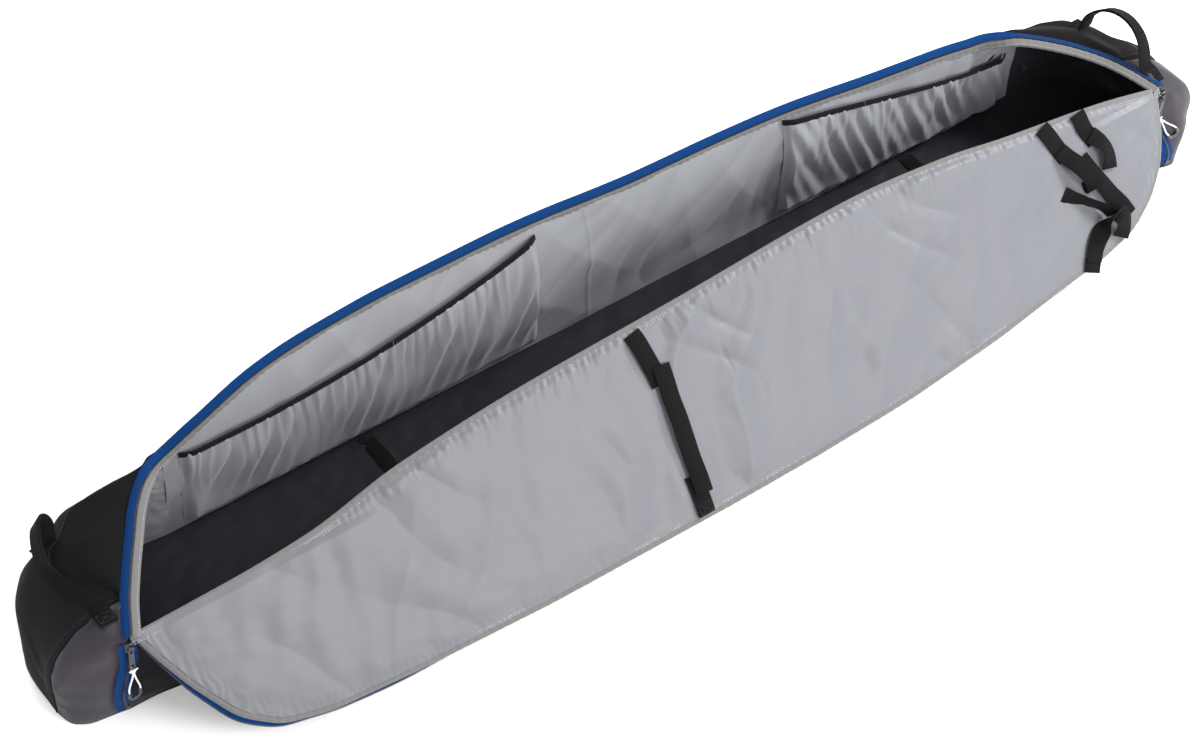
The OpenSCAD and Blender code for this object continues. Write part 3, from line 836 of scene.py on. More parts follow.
def make_base():
    """Outer base cloth, and the lining on the stiff board, both cut to the ends' own outline."""
    x, y = floor_grid(left_grid[:, 0, :2], right_grid[:, 0, :2], 180, 24, 0.0015)
    place(cloth_panel("base_cloth", np.stack([x, y, 0 * x + 0.0024], axis=2), shell_charcoal, THICK),
          "bag", "shell_charcoal", "base_panel")
    x, y = floor_grid(left_inner[:, 1, :2], right_inner[:, 1, :2], 500, 56, 0.0, LINER_INSET)
    edge_gap = np.minimum(y - y[:, :1], y[:, -1:] - y)
    hold = ease(edge_gap / 0.02)
    relief = np.abs(ripple(61, x, y, 0.16)) * 0.0016 + np.abs(ripple(62, x, y, 0.05)) * 0.0006
    lining = np.stack([x, y, FLOOR_Z + 0.0006 + relief * hold], axis=2)
    place(cloth_panel("base_liner", lining, dark_cloth), "bag", "lining_dark", "base_lining")


make_base()


def back_wrinkle(x, h):
    """Relief of the back lining: slack folds that fan out, stronger low down and towards the ends."""
    low = ease((0.22 - h) / 0.16)
    wander = ripple(74, x, h, 0.3) * 0.012
    folds = np.abs(ripple(71, x + wander, h, 0.19, spread=0.35, along=0.6)) * 0.0032 - np.abs(
        ripple(72, x - wander, h + wander, 0.12, spread=0.35, along=-0.8)) * 0.0024
    seam = -0.0012 * np.exp(-((x + 0.004) / 0.0022) ** 2)
    return (folds * (0.35 + 0.65 * low) + seam) * ease(h / 0.03)


def make_back():
    """The back's outer cloth and lining, each in a wall and a crown above it."""
    xs = np.linspace(JOIN_LEFT - 0.004, JOIN_RIGHT + 0.004, 620)
    rim_h = HINGE_Z + np.maximum(crown_rise(xs), 0.0012)[:, None]
    for kind, material, slot, nodes in (
            ("shell", shell_black, "shell_black", {"wall": ["back_wall"], "crown": ["back_crown"]}),
            ("liner", lining_cloth, "lining_grey", {"wall": ["back_lining"], "crown": []})):
        for part, rows in (("wall", 44), ("crown", 26)):
            v = np.linspace(0, 1, rows)[None, :]
            x = np.broadcast_to(xs[:, None], (len(xs), rows))
            if part == "wall":
                h = 0.001 + (HINGE_Z - 0.001) * v + 0 * x
            else:
                h = HINGE_Z + (rim_h - HINGE_Z + 0.001) * v
            if kind == "shell":
                relief = np.maximum(ripple(81, x, h, 0.2) * 0.0025 + ripple(82, x, h, 0.07) * 0.0006,
                                    -0.001) * ease((rim_h - h) / 0.03)
                grid = back_at(x, h, -relief)
            else:
                relief = np.minimum(back_wrinkle(x, h) * ease((rim_h - h) / 0.02), 0.0025)
                grid = back_at(x, np.maximum(h, FLOOR_Z), LINER_DEPTH - relief)
            panel = cloth_panel(f"back_{kind}_{part}", grid, material, flip=kind == "shell")
            place(panel, "bag", slot, *nodes[part])
            if part == "crown":
                squash_crown(panel)


make_back()


def make_front():
    """The front wall's outer cloth, which follows the closed zips at its ends, and its lining."""
    xs = np.linspace(-HINGE_X, HINGE_X, 560)
    z = np.linspace(0.001, HINGE_Z - 0.001, 30)
    x, h = np.meshgrid(xs, z, indexing="ij")
    hold = ease(np.minimum(h, HINGE_Z - h) / 0.03) * ease((HINGE_X - np.abs(x)) / 0.03)
    relief = (ripple(91, x, h, 0.15) * 0.002 + ripple(92, x, h, 0.05) * 0.0006) * hold
    tuck = FOOT_TUCK * (1 - ease(h / 0.05))
    tuck = tuck * (1 - ease((np.abs(x) - 0.85) / 0.05))
    outer = np.stack([x, -HALF_W + tuck - np.maximum(relief, -0.001), h], axis=2)
    for side in (-1, 1):
        for axis, drift in enumerate(zip_drift(side, h)):
            outer[:, :, axis] += drift * near_corner(side, x)
    place(cloth_panel("front_shell", outer, shell_charcoal), "bag", "shell_charcoal", "front_wall")
    z = np.linspace(FLOOR_Z, HINGE_Z - 0.0065, 30)
    x, h = np.meshgrid(xs, z, indexing="ij")
    relief = ripple(93, x, h, 0.12, along=0.4) * 0.002 + ripple(94, x, h, 0.05) * 0.0008
    relief = relief * ease(h / 0.04) * ease((HINGE_Z - h) / 0.03)
    inner = np.stack([x, -LINED_Y + np.maximum(relief, -0.0004), h], axis=2)
    place(cloth_panel("front_liner", inner, dark_cloth, flip=True), "bag", "lining_dark", "front_lining")


make_front()


# ---------- lid and the ridge above its hinge line ----------

LID_SHAPE = [(-0.898, 0.0), (-0.88, 0.045), (-0.853, 0.1), (-0.812, 0.165), (-0.762, 0.202), (-0.69, 0.219),
             (-0.56, 0.229), (-0.34, 0.239), (-0.03, 0.243), (0.13, 0.242), (0.3, 0.237), (0.48, 0.222),
             (0.6, 0.2055), (0.7, 0.1935), (0.768, 0.178), (0.82, 0.146), (0.858, 0.106), (0.882, 0.058),
             (0.898, 0.0)]


def lid_outline():
    """The lid's edge in its own plane, as (x, s) points from the left hinge corner round to the right one."""
    points = resample([(x, s, 0) for x, s in LID_SHAPE], STEP)
    return soften(points, 0.07, STEP)[:, :2]


LID_EDGE = lid_outline()
_edge_along = tangents(np.column_stack([LID_EDGE, np.zeros(len(LID_EDGE))]))
EDGE_OUT = np.column_stack([-_edge_along[:, 1], _edge_along[:, 0]])
if EDGE_OUT[len(EDGE_OUT) // 2, 1] < 0:
    EDGE_OUT = -EDGE_OUT


def inside_edge(d):
    """The lid's outline drawn in by d."""
    return LID_EDGE - EDGE_OUT * d


MID_STRAP_X = -0.074
END_STRAP_ROOTS = ((0.681, -0.05, 0.03), (0.742, -0.05, 0.03), (0.672, 0.175, 0.26))  # x, and first and last s
STRAP_HOLD = 0.026


def calm(x, s):
    """1 on open cloth, falling where a strap sewn through the lining holds it flat."""
    held = np.exp(-((x - MID_STRAP_X) / STRAP_HOLD) ** 4)
    for root, first, last in END_STRAP_ROOTS:
        along = ease((s - first) / 0.01) * ease((last - s) / 0.02)
        held = np.maximum(held, np.exp(-((x - root) / STRAP_HOLD) ** 4) * along)
    return 1 - 0.9 * held


def fold_relief(x, s):
    """Soft folds of the padded lining: broad dents with a few crisp creases that wander and die away."""
    wander = ripple(104, x, s, 0.30) * 0.012
    broad = -0.0034 * np.abs(ripple(102, x + wander, s, 0.20, spread=0.3, along=0.45))
    facets = 0.0027 * np.abs(ripple(103, x - wander, s + wander, 0.15, spread=0.35, along=-0.75))
    across = ripple(105, x + wander, s, 0.06, along=0.35) * 0.0005
    uneven = np.clip(0.62 + 0.5 * ripple(106, x, s, 0.34), 0.15, 1.15)
    return ((broad + facets) * uneven + across + 0.001) * calm(x, s)


CLOTH = {"quality": 5, "mass": 0.15, "tension_stiffness": 12, "compression_stiffness": 12,
         "shear_stiffness": 4, "bending_stiffness": 4, "uniform_pressure_force": 0.6}
CLOTH_STEPS = 26
SPARE_CLOTH = 0.03  # share of extra length in the lid's lining
VALLEY = 0.35  # share of a valley's depth that the foam leaves


def slack_cloth(x, s, held, spare):
    """Heights of a cloth held at some points, with spare extra length, found by a cloth simulation on a flat
    copy of the grid. Valleys are filled, as by the foam under the cloth."""
    verts = np.column_stack([x.ravel(), s.ravel(), ripple(907, x, s, 0.05).ravel() * 0.0006])
    rows = x.shape[1]
    ids = np.arange(x.size).reshape(x.shape)
    faces = np.stack([ids[:-1, :-1], ids[1:, :-1], ids[1:, 1:], ids[:-1, 1:]], axis=2).reshape(-1, 4)
    cloth = new_object("slack_cloth", verts, faces, lid_cloth)
    group = cloth.vertex_groups.new(name="held")
    weights = np.round(held.ravel(), 1)
    for weight in np.unique(weights):
        if weight > 0:
            group.add([int(i) for i in np.nonzero(weights == weight)[0]], float(weight), "REPLACE")
    modifier = cloth.modifiers.new("cloth", "CLOTH")
    settings = modifier.settings
    for key, value in CLOTH.items():
        setattr(settings, key, value)
    settings.shrink_min = -spare
    settings.vertex_group_mass = "held"
    settings.use_pressure = True
    settings.effector_weights.gravity = 0
    modifier.collision_settings.use_collision = False
    modifier.point_cache.frame_end = CLOTH_STEPS
    scene = bpy.context.scene
    for step in range(1, CLOTH_STEPS + 1):
        scene.frame_set(step)
    result = cloth.evaluated_get(bpy.context.evaluated_depsgraph_get()).to_mesh()
    points = np.empty(len(result.vertices) * 3)
    result.vertices.foreach_get("co", points)
    height = points.reshape(-1, 3)[:, 2].reshape(-1, rows)
    bpy.data.objects.remove(cloth)
    scene.frame_set(1)
    return np.where(height > 0, height, VALLEY * height)


def edge_gathers(x, s, pitch, seed):
    """Small pleats across an edge, of unit height."""
    return np.sin(x * 2 * math.pi / pitch + 1.7 * ripple(seed, x, s, 0.06))


def lid_relief(x, s, edge_gap):
    """Relief of the lid's lining: padding, folds, gathers along the edge and a seam across."""
    puff = 0.004 * ease(edge_gap / 0.05)
    gathers = edge_gathers(x, s, 0.011, 131) * 0.0009 * np.exp(-np.maximum(edge_gap - 0.006, 0) / 0.014)
    seam = -0.0012 * np.exp(-((x - 0.043 - 0.03 * (s - 0.1)) / 0.0022) ** 2) * ease(edge_gap / 0.02)
    return puff + fold_relief(x, s) * ease(edge_gap / 0.03) + gathers + seam


HINGE_STRIP = 0.009  # width of the lid's strip along the hinge line
COVER_REACH = 0.0085  # how far the strip's cover reaches inside the ridge
BIND = 0.014  # width of the lid's binding
LID_FOLDS = 0.8  # share of the relief that the padding leaves
LID_UNDER = -0.0068  # outer face of the lid, below the hinge line's plane


def make_lid():
    """The lid's padded lining and its outer cloth."""
    inner = inside_edge(BIND * 0.75)
    rows, columns = 81, 621
    t = run_length(np.column_stack([inner, np.zeros(len(inner))]))
    u = np.linspace(0, 1, columns)
    edge = rows_at(u, t / t[-1], inner)
    half = np.max(np.abs(edge[:, 0]))
    # Each line across the lid leans from the hinge line to the edge, so none is squeezed at the corners
    start_x = np.interp(u, [0, 0.5, 1], [-half, 0, half])
    start_x = 0.35 * start_x + 0.65 * np.clip(edge[:, 0], -half, half)
    v = np.linspace(0, 1, rows)[None, :]
    x = start_x[:, None] * (1 - v) + edge[:, :1] * v
    s0 = np.minimum(HINGE_STRIP, edge[:, 1])[:, None]
    s = s0 * (1 - v) + edge[:, 1:] * v
    gap = distance_to_edge(x, s)
    relief = LID_FOLDS * lid_relief(x, s, gap)
    coarse = (np.s_[::2], np.s_[::2])
    from_hinge = np.broadcast_to(v, x.shape)[coarse] * s[coarse]
    held = 1 - ease(np.minimum(gap[coarse] - 0.006, from_hinge - 0.004) / 0.012)
    slack = slack_cloth(x[coarse], s[coarse], held, SPARE_CLOTH)
    slack = calm(x, s) * blurred(spread_out(np.clip(slack, -0.003, 0.006), x.shape), 14)
    relief = relief + 0.9 * slack * ease(gap / 0.02) * ease((s - HINGE_STRIP) / 0.02)
    top = lid_at(x, s, 0.0005 + relief)
    liner = cloth_panel("lid_liner", top, lid_cloth)
    place(liner, "lid", "lid_lining_grey", "lid_lining", "lid_foam")
    puff = 0.006 * ease(gap / 0.06) + np.maximum(ripple(141, x, s, 0.2), -1) * 0.0015 * ease(gap / 0.04)
    under = lid_at(x, s, LID_UNDER - np.maximum(puff, 0))
    place(cloth_panel("lid_shell", under, shell_charcoal, flip=True), "lid", "shell_charcoal", "lid_outer")


def spread_out(values, shape):
    """A coarse grid of values read at every point of a finer one."""
    for axis, count in enumerate(shape):
        at = np.linspace(0, values.shape[axis] - 1, count)
        low = np.floor(at).astype(int)
        high = np.minimum(low + 1, values.shape[axis] - 1)
        mix = (at - low).reshape([-1, 1] if axis == 0 else [1, -1])
        values = np.take(values, low, axis=axis) * (1 - mix) + np.take(values, high, axis=axis) * mix
    return values


def blurred(values, rounds):
    """A grid of values smoothed over its neighbours."""
    for _ in range(rounds):
        wide = np.pad(values, 1, mode="edge")
        along, across = wide[:, 1:-1], wide[1:-1]
        values = (wide[1:-1, 1:-1] * 2 + along[:-2] + along[2:] + across[:, :-2] + across[:, 2:]) / 6
    return values


def distance_to_edge(x, s):
    """Distance from points of the lid to its outline, without the hinge line."""
    points = np.stack([x.ravel(), s.ravel()], axis=1)
    outline = LID_EDGE[::4]
    best = np.full(len(points), 9.0)
    for start in range(0, len(outline), 40):
        block = outline[start:start + 40]
        best = np.minimum(best, np.sqrt(((points[:, None] - block[None]) ** 2).sum(axis=2)).min(axis=1))
    return best.reshape(x.shape)


make_lid()


def ridge_relief(x, s, rise):
    """Relief of the lining on the ridge: folds that carry on from the lid, and gathers along its binding."""
    grow = ease(rise / 0.03)
    from_edge = rise + s
    gathers = edge_gathers(x, s, 0.012, 133) * 0.0007 * np.exp(-np.maximum(from_edge - 0.008, 0) / 0.012)
    gathers = gathers * (rise > 0.01)
    wave = np.sin(x * 2 * math.pi / 0.027 + 2.2 * ripple(135, x, 0 * s, 0.11) + 18 * from_edge)
    pleats = np.maximum(wave, -0.3) * 0.0016 * calm(x, s) * np.exp(-from_edge / 0.032) * grow
    pleats = pleats * ease(from_edge / 0.010)
    folds = (0.003 * grow + fold_relief(x, s)) * ease(from_edge / 0.012) * grow
    return folds + gathers + pleats * ease(-s / 0.010)


def make_hinge():
    """The ridge's two faces, and the lid's strip that meets them."""
    xs = np.linspace(-0.893, 0.893, 620)
    rise = np.maximum(ridge_rise(xs) - 0.004, 0.0006)[:, None]
    v = np.linspace(0, 1, 22)[None, :]
    x = xs[:, None] + 0 * v
    s = -rise + (rise + 0.0004) * v
    face = cloth_panel("ridge_face", lid_at(x, s, 0.0005 + ridge_relief(x, s, rise)), lid_cloth)
    place(face, "bag", "lid_lining_grey", "front_ridge")
    hold = ease((rise + s) / 0.012)
    behind = lid_at(x, s, -0.006 - np.abs(ripple(151, x, s, 0.08)) * 0.002 * hold)
    back = cloth_panel("ridge_back", behind, lining_cloth, flip=True)
    place(back, "bag", "lining_grey")
    squash_ridge(face)
    squash_ridge(back)
    v = np.linspace(0, 1, 20)[None, :]
    x = xs[:, None] + 0 * v
    s = (HINGE_STRIP + 0.002) * v + 0 * x
    # The strip's relief runs from the ridge's to the lid's, and its far edge is tucked under the lid's lining
    tucked = 0.0005 * ease((s - HINGE_STRIP) / 0.002)
    mix = np.clip(s / HINGE_STRIP, 0, 1)
    on_ridge = ridge_relief(x, s, rise)
    on_lid = LID_FOLDS * lid_relief(x, s, distance_to_edge(x, np.maximum(s, HINGE_STRIP)))
    relief = on_ridge * (1 - mix) + on_lid * mix - tucked
    place(cloth_panel("hinge_face", lid_at(x, s, 0.0005 + relief), lid_cloth), "lid", "lid_lining_grey")
    place(cloth_panel("hinge_back", lid_at(x, s, -0.0066 + 0 * s), shell_charcoal, flip=True),
          "lid", "shell_charcoal")
    # A cover on the lid's strip: inside the ridge while the lid is open, and over the strip's edge when it is shut
    profile = resample([(0.005, -0.0067, 0), (-0.004, -0.0064, 0), (-0.0078, -0.0045, 0), (-0.0085, -0.002, 0),
                        (-0.0085, -0.0005, 0)], 0.8 * MM)[None]
    xs = np.linspace(-0.885, 0.885, 300)[:, None]
    reach = np.minimum(COVER_REACH, ridge_rise(xs) + 0.0005) / COVER_REACH
    s = profile[..., 0] * np.where(profile[..., 0] < 0, reach, 1.0)
    place(cloth_panel("hinge_cover", lid_at(xs, s, profile[..., 1]), shell_charcoal, 0.8 * MM, flip=True),
          "lid", "shell_charcoal")


make_hinge()


def picked(values, count):
    """Count of the values, spread evenly."""
    return values[np.linspace(0, len(values) - 1, count).round().astype(int)]


def edge_curve(d, up):
    """A line on the lid, d inside its edge."""
    points = inside_edge(d)
    return lid_at(points[:, 0], points[:, 1], up)


def make_lid_edge():
    """Binding, open zip tape, zip teeth and stitches round the lid's edge."""
    path = edge_curve(BIND / 2 + 0.002, -0.0028)
    t = run_length(path)
    wobble = np.sin(t * 2 * math.pi / 0.013)[:, None] * 0.25 * MM
    out = LID_OUT * EDGE_OUT[:, 1:] + np.array([1.0, 0, 0]) * EDGE_OUT[:, :1]
    outline = tape_outline(BIND, 8.4 * MM, 6)
    binding = swept("lid_edge_binding", path + LID_UP * wobble, out, LID_UP, outline, binding_cloth)
    place(binding, "lid", "binding_grey", "lid_binding")
    for name, inset, up, size, lift in (("lid_edge_stitches", 0.0002, 0.0014, EDGE_STITCH, 0.3 * MM),
                                        ("lid_edge_top_stitches", -0.0022, 0.0015, FINE_STITCH, 0.0)):
        place(stitches(name, edge_curve(BIND + inset, up), LID_UP, thread_cloth, size, lift),
              "lid", "binding_grey")
    # The tape leaves the edge's underside and stands out a little, most at the lower left
    n = len(LID_EDGE)
    u = np.linspace(0, 1, n)
    peek = through([(0, -0.002), (0.03, 0.000), (0.06, 0.003), (0.10, 0.005), (0.15, 0.001), (0.2, 0.003),
                    (0.27, -0.002), (0.75, -0.004), (0.9, -0.003), (1, -0.003)])(u)
    centre = LID_EDGE + EDGE_OUT * (peek[:, None] - 0.0065)
    drop = -0.0072 - peek * 0.35
    tape_path = lid_at(centre[:, 0], centre[:, 1], drop)
    tilt = unit(out * 0.93 - LID_UP * 0.36)
    tape = swept("lid_open_tape", tape_path, tilt, unit(np.cross(tangents(tape_path), tilt)),
                 tape_outline(13 * MM, 1.1 * MM, 3), zip_cloth)
    place(tape, "lid", "zip_blue", "lid_zip_tape")
    teeth_at = resample(tape_path + tilt * 6 * MM - LID_UP * 0.2 * MM, STEP)
    along = tangents(teeth_at)
    tilt_there = picked(resample_like(tilt, tape_path, STEP), len(teeth_at))
    teeth = stamped("lid_open_teeth", teeth_at, along, tilt_there, unit(np.cross(along, tilt_there)),
                    (1.3 * MM, 2.6 * MM, 2.2 * MM), coil_plastic, 0.7)
    place(teeth, "lid", "zip_coil", "lid_zip_coil")


make_lid_edge()


def make_ridge_edge():
    """Binding along the ridge from one hinge corner to the other."""
    xs = np.linspace(-0.899, 0.899, 900)
    path = soften(lid_at(xs, 0.004 - ridge_rise(xs), -0.0026), 0.05, STEP)
    along = tangents(path)
    out = unit(np.cross(along, LID_UP))
    if out[len(out) // 2] @ LID_OUT > 0:
        out = -out
    t = run_length(path)
    wobble = np.sin(t * 2 * math.pi / 0.014)[:, None] * 0.25 * MM
    binding = swept("ridge_binding", path + LID_UP * wobble, out, LID_UP, tape_outline(12 * MM, 8 * MM, 6),
                    binding_cloth)
    place(binding, "bag", "binding_grey", "hinge_binding")
    squash_ridge(binding)
    for name, offset, up in (("ridge_stitches", 0.0068, 0.0048), ("ridge_top_stitches", 0.0035, 0.0042)):
        row = stitches(name, path - out * offset + LID_UP * up, LID_UP, thread_cloth, EDGE_STITCH, 0.0)
        place(row, "bag", "binding_grey")
        squash_ridge(row)


make_ridge_edge()


# ---------- the open zip on the body ----------

def make_rim():
    """Zip tape, teeth and binding round the opening, in a piece for each end and one for the crown."""
    parts = {"left": slice(0, CROWN_FIRST + 1), "crown": slice(CROWN_FIRST, CROWN_LAST + 1),
             "right": slice(CROWN_LAST, len(RIM))}
    for name, part in parts.items():
        path, out, normal = RIM[part], RIM_OUT[part], RIM_NORMAL[part]
        t = run_length(RIM)[part]
        wobble = np.sin(t * 2 * math.pi / 0.013)[:, None] * 0.25 * MM
        tape_across = unit(out + normal * -0.35)
        tape_up = unit(np.cross(tangents(path), tape_across))
        tape_up = tape_up * np.sign(np.sum(tape_up * normal, axis=1, keepdims=True))
        tape = swept(f"{name}_rim_tape", path + out * 0.5 * MM + normal * 3.2 * MM, tape_across, tape_up,
                     tape_outline(12 * MM, 1.6 * MM, 3), zip_cloth)
        teeth_at = resample(path - out * 6.2 * MM + normal * 5.2 * MM, STEP)
        teeth = stamped(f"{name}_rim_teeth", teeth_at, tangents(teeth_at), picked(out, len(teeth_at)),
                        picked(normal, len(teeth_at)), (1.3 * MM, 2.8 * MM, 2.2 * MM), coil_plastic, 0.7)
        bind_across = unit(out + normal * 0.45)
        bind_up = unit(normal - out * 0.45)
        binding = swept(f"{name}_rim_binding", path - out * 13 * MM + normal * (1.2 * MM + wobble), bind_across,
                        bind_up, tape_outline(13 * MM, 5 * MM, 5), binding_cloth)
        row = stitches(f"{name}_rim_stitches", path - out * 16.5 * MM + normal * 2.3 * MM, bind_up, thread_cloth,
                       EDGE_STITCH, 0.0)
        for piece, slot, node in ((tape, "zip_blue", ["body_zip_tape"]), (teeth, "zip_coil", ["body_zip_coil"]),
                                  (binding, "binding_grey", ["body_binding"]), (row, "binding_grey", [])):
            place(piece, "bag", slot, *(node if name == "crown" else []))
            if name == "crown":
                squash_crown(piece)


make_rim()


# ---------- pockets ----------

POCKET_FOOT = 0.02


def make_pocket(name, x0, x1, edge_line, seed, gather):
    """A gathered pocket on the back lining. Its cloth hangs from a taut elastic and bulges out below it."""
    edge = through(edge_line)
    xs = np.linspace(x0, x1, int((x1 - x0) / 0.0022))
    top = edge(xs)
    from_middle = np.abs((xs - (x0 + x1) / 2) / ((x1 - x0) / 2))
    held = ease((1 - from_middle) / 0.05)
    v = np.linspace(0, 1, 56)[None, :]
    x = xs[:, None] + 0 * v
    h = POCKET_FOOT + (top[:, None] - POCKET_FOOT) * v
    below = top[:, None] - h
    tight = np.exp(-below / 0.03)
    slack = np.sin(math.pi * np.clip(v, 0, 1)) ** 0.7
    phase = x * 2 * math.pi / 0.017 + 1.3 * ripple(seed, x, h * 0.4, 0.12) + gather * below * 30
    gathers = (np.sin(phase) + 0.4 * np.sin(phase * 1.83 + 1)) * 0.0017 * np.exp(-below / 0.04)
    folds = ripple(seed + 1, x + gather * below, h * 0.35, 0.045, along=0.0) * 0.0026 * slack
    dents = ripple(seed + 2, x, h, 0.15) * 0.003 * slack
    stand = 0.0095 + 0.003 * slack + (folds + dents + gathers) * (1 - 0.6 * tight * (below < 0.004))
    depth = LINER_DEPTH + np.maximum(stand, 0.003) * held[:, None] * ease(v / 0.08) + 0.0015
    level = np.minimum(top, HINGE_Z)
    high = xs[top > HINGE_Z + 0.0005]
    grids = {
        "wall": (xs, POCKET_FOOT + (level[:, None] - POCKET_FOOT) * v),
        "crown": (high, HINGE_Z + (edge(high)[:, None] - HINGE_Z) * np.linspace(0, 1, 16)[None, :]),
    }
    line = back_at(xs, top, depth[:, -1] + 0.0008)
    lean = np.interp(top, _heights, _lean)
    up = np.stack([0 * xs, np.sin(lean), np.cos(lean)], axis=1)
    for part, (px, ph) in grids.items():
        grid = back_at(px[:, None] + 0 * ph, ph, sample_depth(px, ph, xs, top, depth))
        cloth = cloth_panel(f"{name}_cloth_{part}", grid, lining_cloth, 0.9 * MM)
        place(cloth, "bag", "lining_grey", *([name] if part == "wall" else []))
        mask = (top > HINGE_Z) == (part == "crown")
        path = soften(line[mask], 0.03, 2.2 * MM)
        ribs = np.sin(np.arange(len(path)) * 2 * math.pi / 3.1)[:, None] * 0.2 * MM
        face = unit(np.cross(tangents(path), up[mask]))
        band = swept(f"{name}_elastic_{part}", path + face * ribs - up[mask] * 2 * MM, up[mask], face,
                     tape_outline(9 * MM, 2.4 * MM, 3), elastic_cloth)
        place(band, "bag", "elastic_black", *([f"{name}_elastic"] if part == "wall" else []))
        if part == "crown":
            squash_crown(cloth)
            squash_crown(band)


def sample_depth(px, ph, xs, top, depth):
    """Reads a table of depths, made on lines up from the pocket's foot to its edge, at other heights."""
    rows = depth.shape[1] - 1
    column = np.interp(px, xs, np.arange(len(xs)))[:, None]
    low = np.floor(column).astype(int)
    high = np.minimum(low + 1, len(xs) - 1)
    mix = column - low
    edge_there = np.interp(px, xs, top)[:, None]
    v = np.clip((ph - POCKET_FOOT) / (edge_there - POCKET_FOOT), 0, 1) * rows
    below = np.floor(v).astype(int)
    above = np.minimum(below + 1, rows)
    share = v - below

    def at(column_index):
        column_index = np.broadcast_to(column_index, ph.shape)
        return depth[column_index, below] * (1 - share) + depth[column_index, above] * share
    return at(low) * (1 - mix) + at(high) * mix


# Each pocket is one gathered cloth, made here in two parts where the wall meets the crown.
make_pocket("left_pocket", -0.69, -0.093, [(-0.69, 0.163), (-0.572, 0.162), (-0.41, 0.170), (-0.261, 0.188),
                                           (-0.16, 0.205), (-0.093, 0.219)], 201, 0.5)
make_pocket("right_pocket", 0.352, 0.793, [(0.352, 0.204), (0.46, 0.184), (0.57, 0.161), (0.68, 0.138),
                                           (0.793, 0.122)], 211, -0.5)


# ---------- webbing ----------

ALONG_X, ALONG_Y, ALONG_Z = np.eye(3)
WEB_STEP = 3 * MM


def webbing(name, path, facing, width=28 * MM, thick=1.8 * MM, smooth=0.02):
    """A strap along a path. facing is the way its flat side looks, one vector or one for each path point."""
    facing = np.asarray(facing, float)
    if facing.ndim == 1:
        facing = np.repeat(facing[None], 2, axis=0)
    fine = resample(path, WEB_STEP)
    normal = rows_at(np.linspace(0, 1, len(fine)), np.linspace(0, 1, len(facing)), facing)
    fine = soften(fine, smooth, WEB_STEP)
    across = unit(np.cross(normal, tangents(fine)))
    up = unit(np.cross(tangents(fine), across))
    return swept(name, fine, across, up, tape_outline(width, thick, 3), webbing_cloth)


def lid_line(points, count=40):
    """A smooth line of (x, s, up) points on the lid, in space."""
    points = np.array(points, float)
    t = run_length(points[:, :2])
    at = np.linspace(0, t[-1], count)
    x, s, up = (through(list(zip(t, points[:, i])))(at) for i in range(3))
    return lid_at(x, s, up)


def cross_stitch(name, centre, along, across, normal, length, width):
    """A box of stitches with a cross in it, where webbing is sewn down."""
    a, b = along * length / 2, across * width / 2
    corners = [centre + a + b, centre + a - b, centre - a - b, centre - a + b]
    parts = [stitches(f"{name}_{i}", [corners[p], corners[q]], normal, dark_thread, BOX_STITCH, 0)
             for i, (p, q) in enumerate([(0, 1), (1, 2), (2, 3), (3, 0), (0, 2), (1, 3)])]
    return joined(name, parts)


def over_hinge(name, ridge, hinge, lid, patch=None):
    """The sewn end of a strap that starts on the ridge and runs on to the lid, split at the hinge line. ridge and
    lid are lines of (x, s, up) points and hinge is (x, up) between them."""
    x, up = hinge
    part = webbing(f"{name}_ridge_end", lid_line(ridge + [(x, 0.0004, up)]), LID_UP)
    place(part, "bag", "webbing_black")
    squash_ridge(part)
    part = webbing(f"{name}_lid_end", lid_line([(x, -0.0004, up)] + lid), LID_UP)
    place(part, "lid", "webbing_black", *([patch] if patch else []))


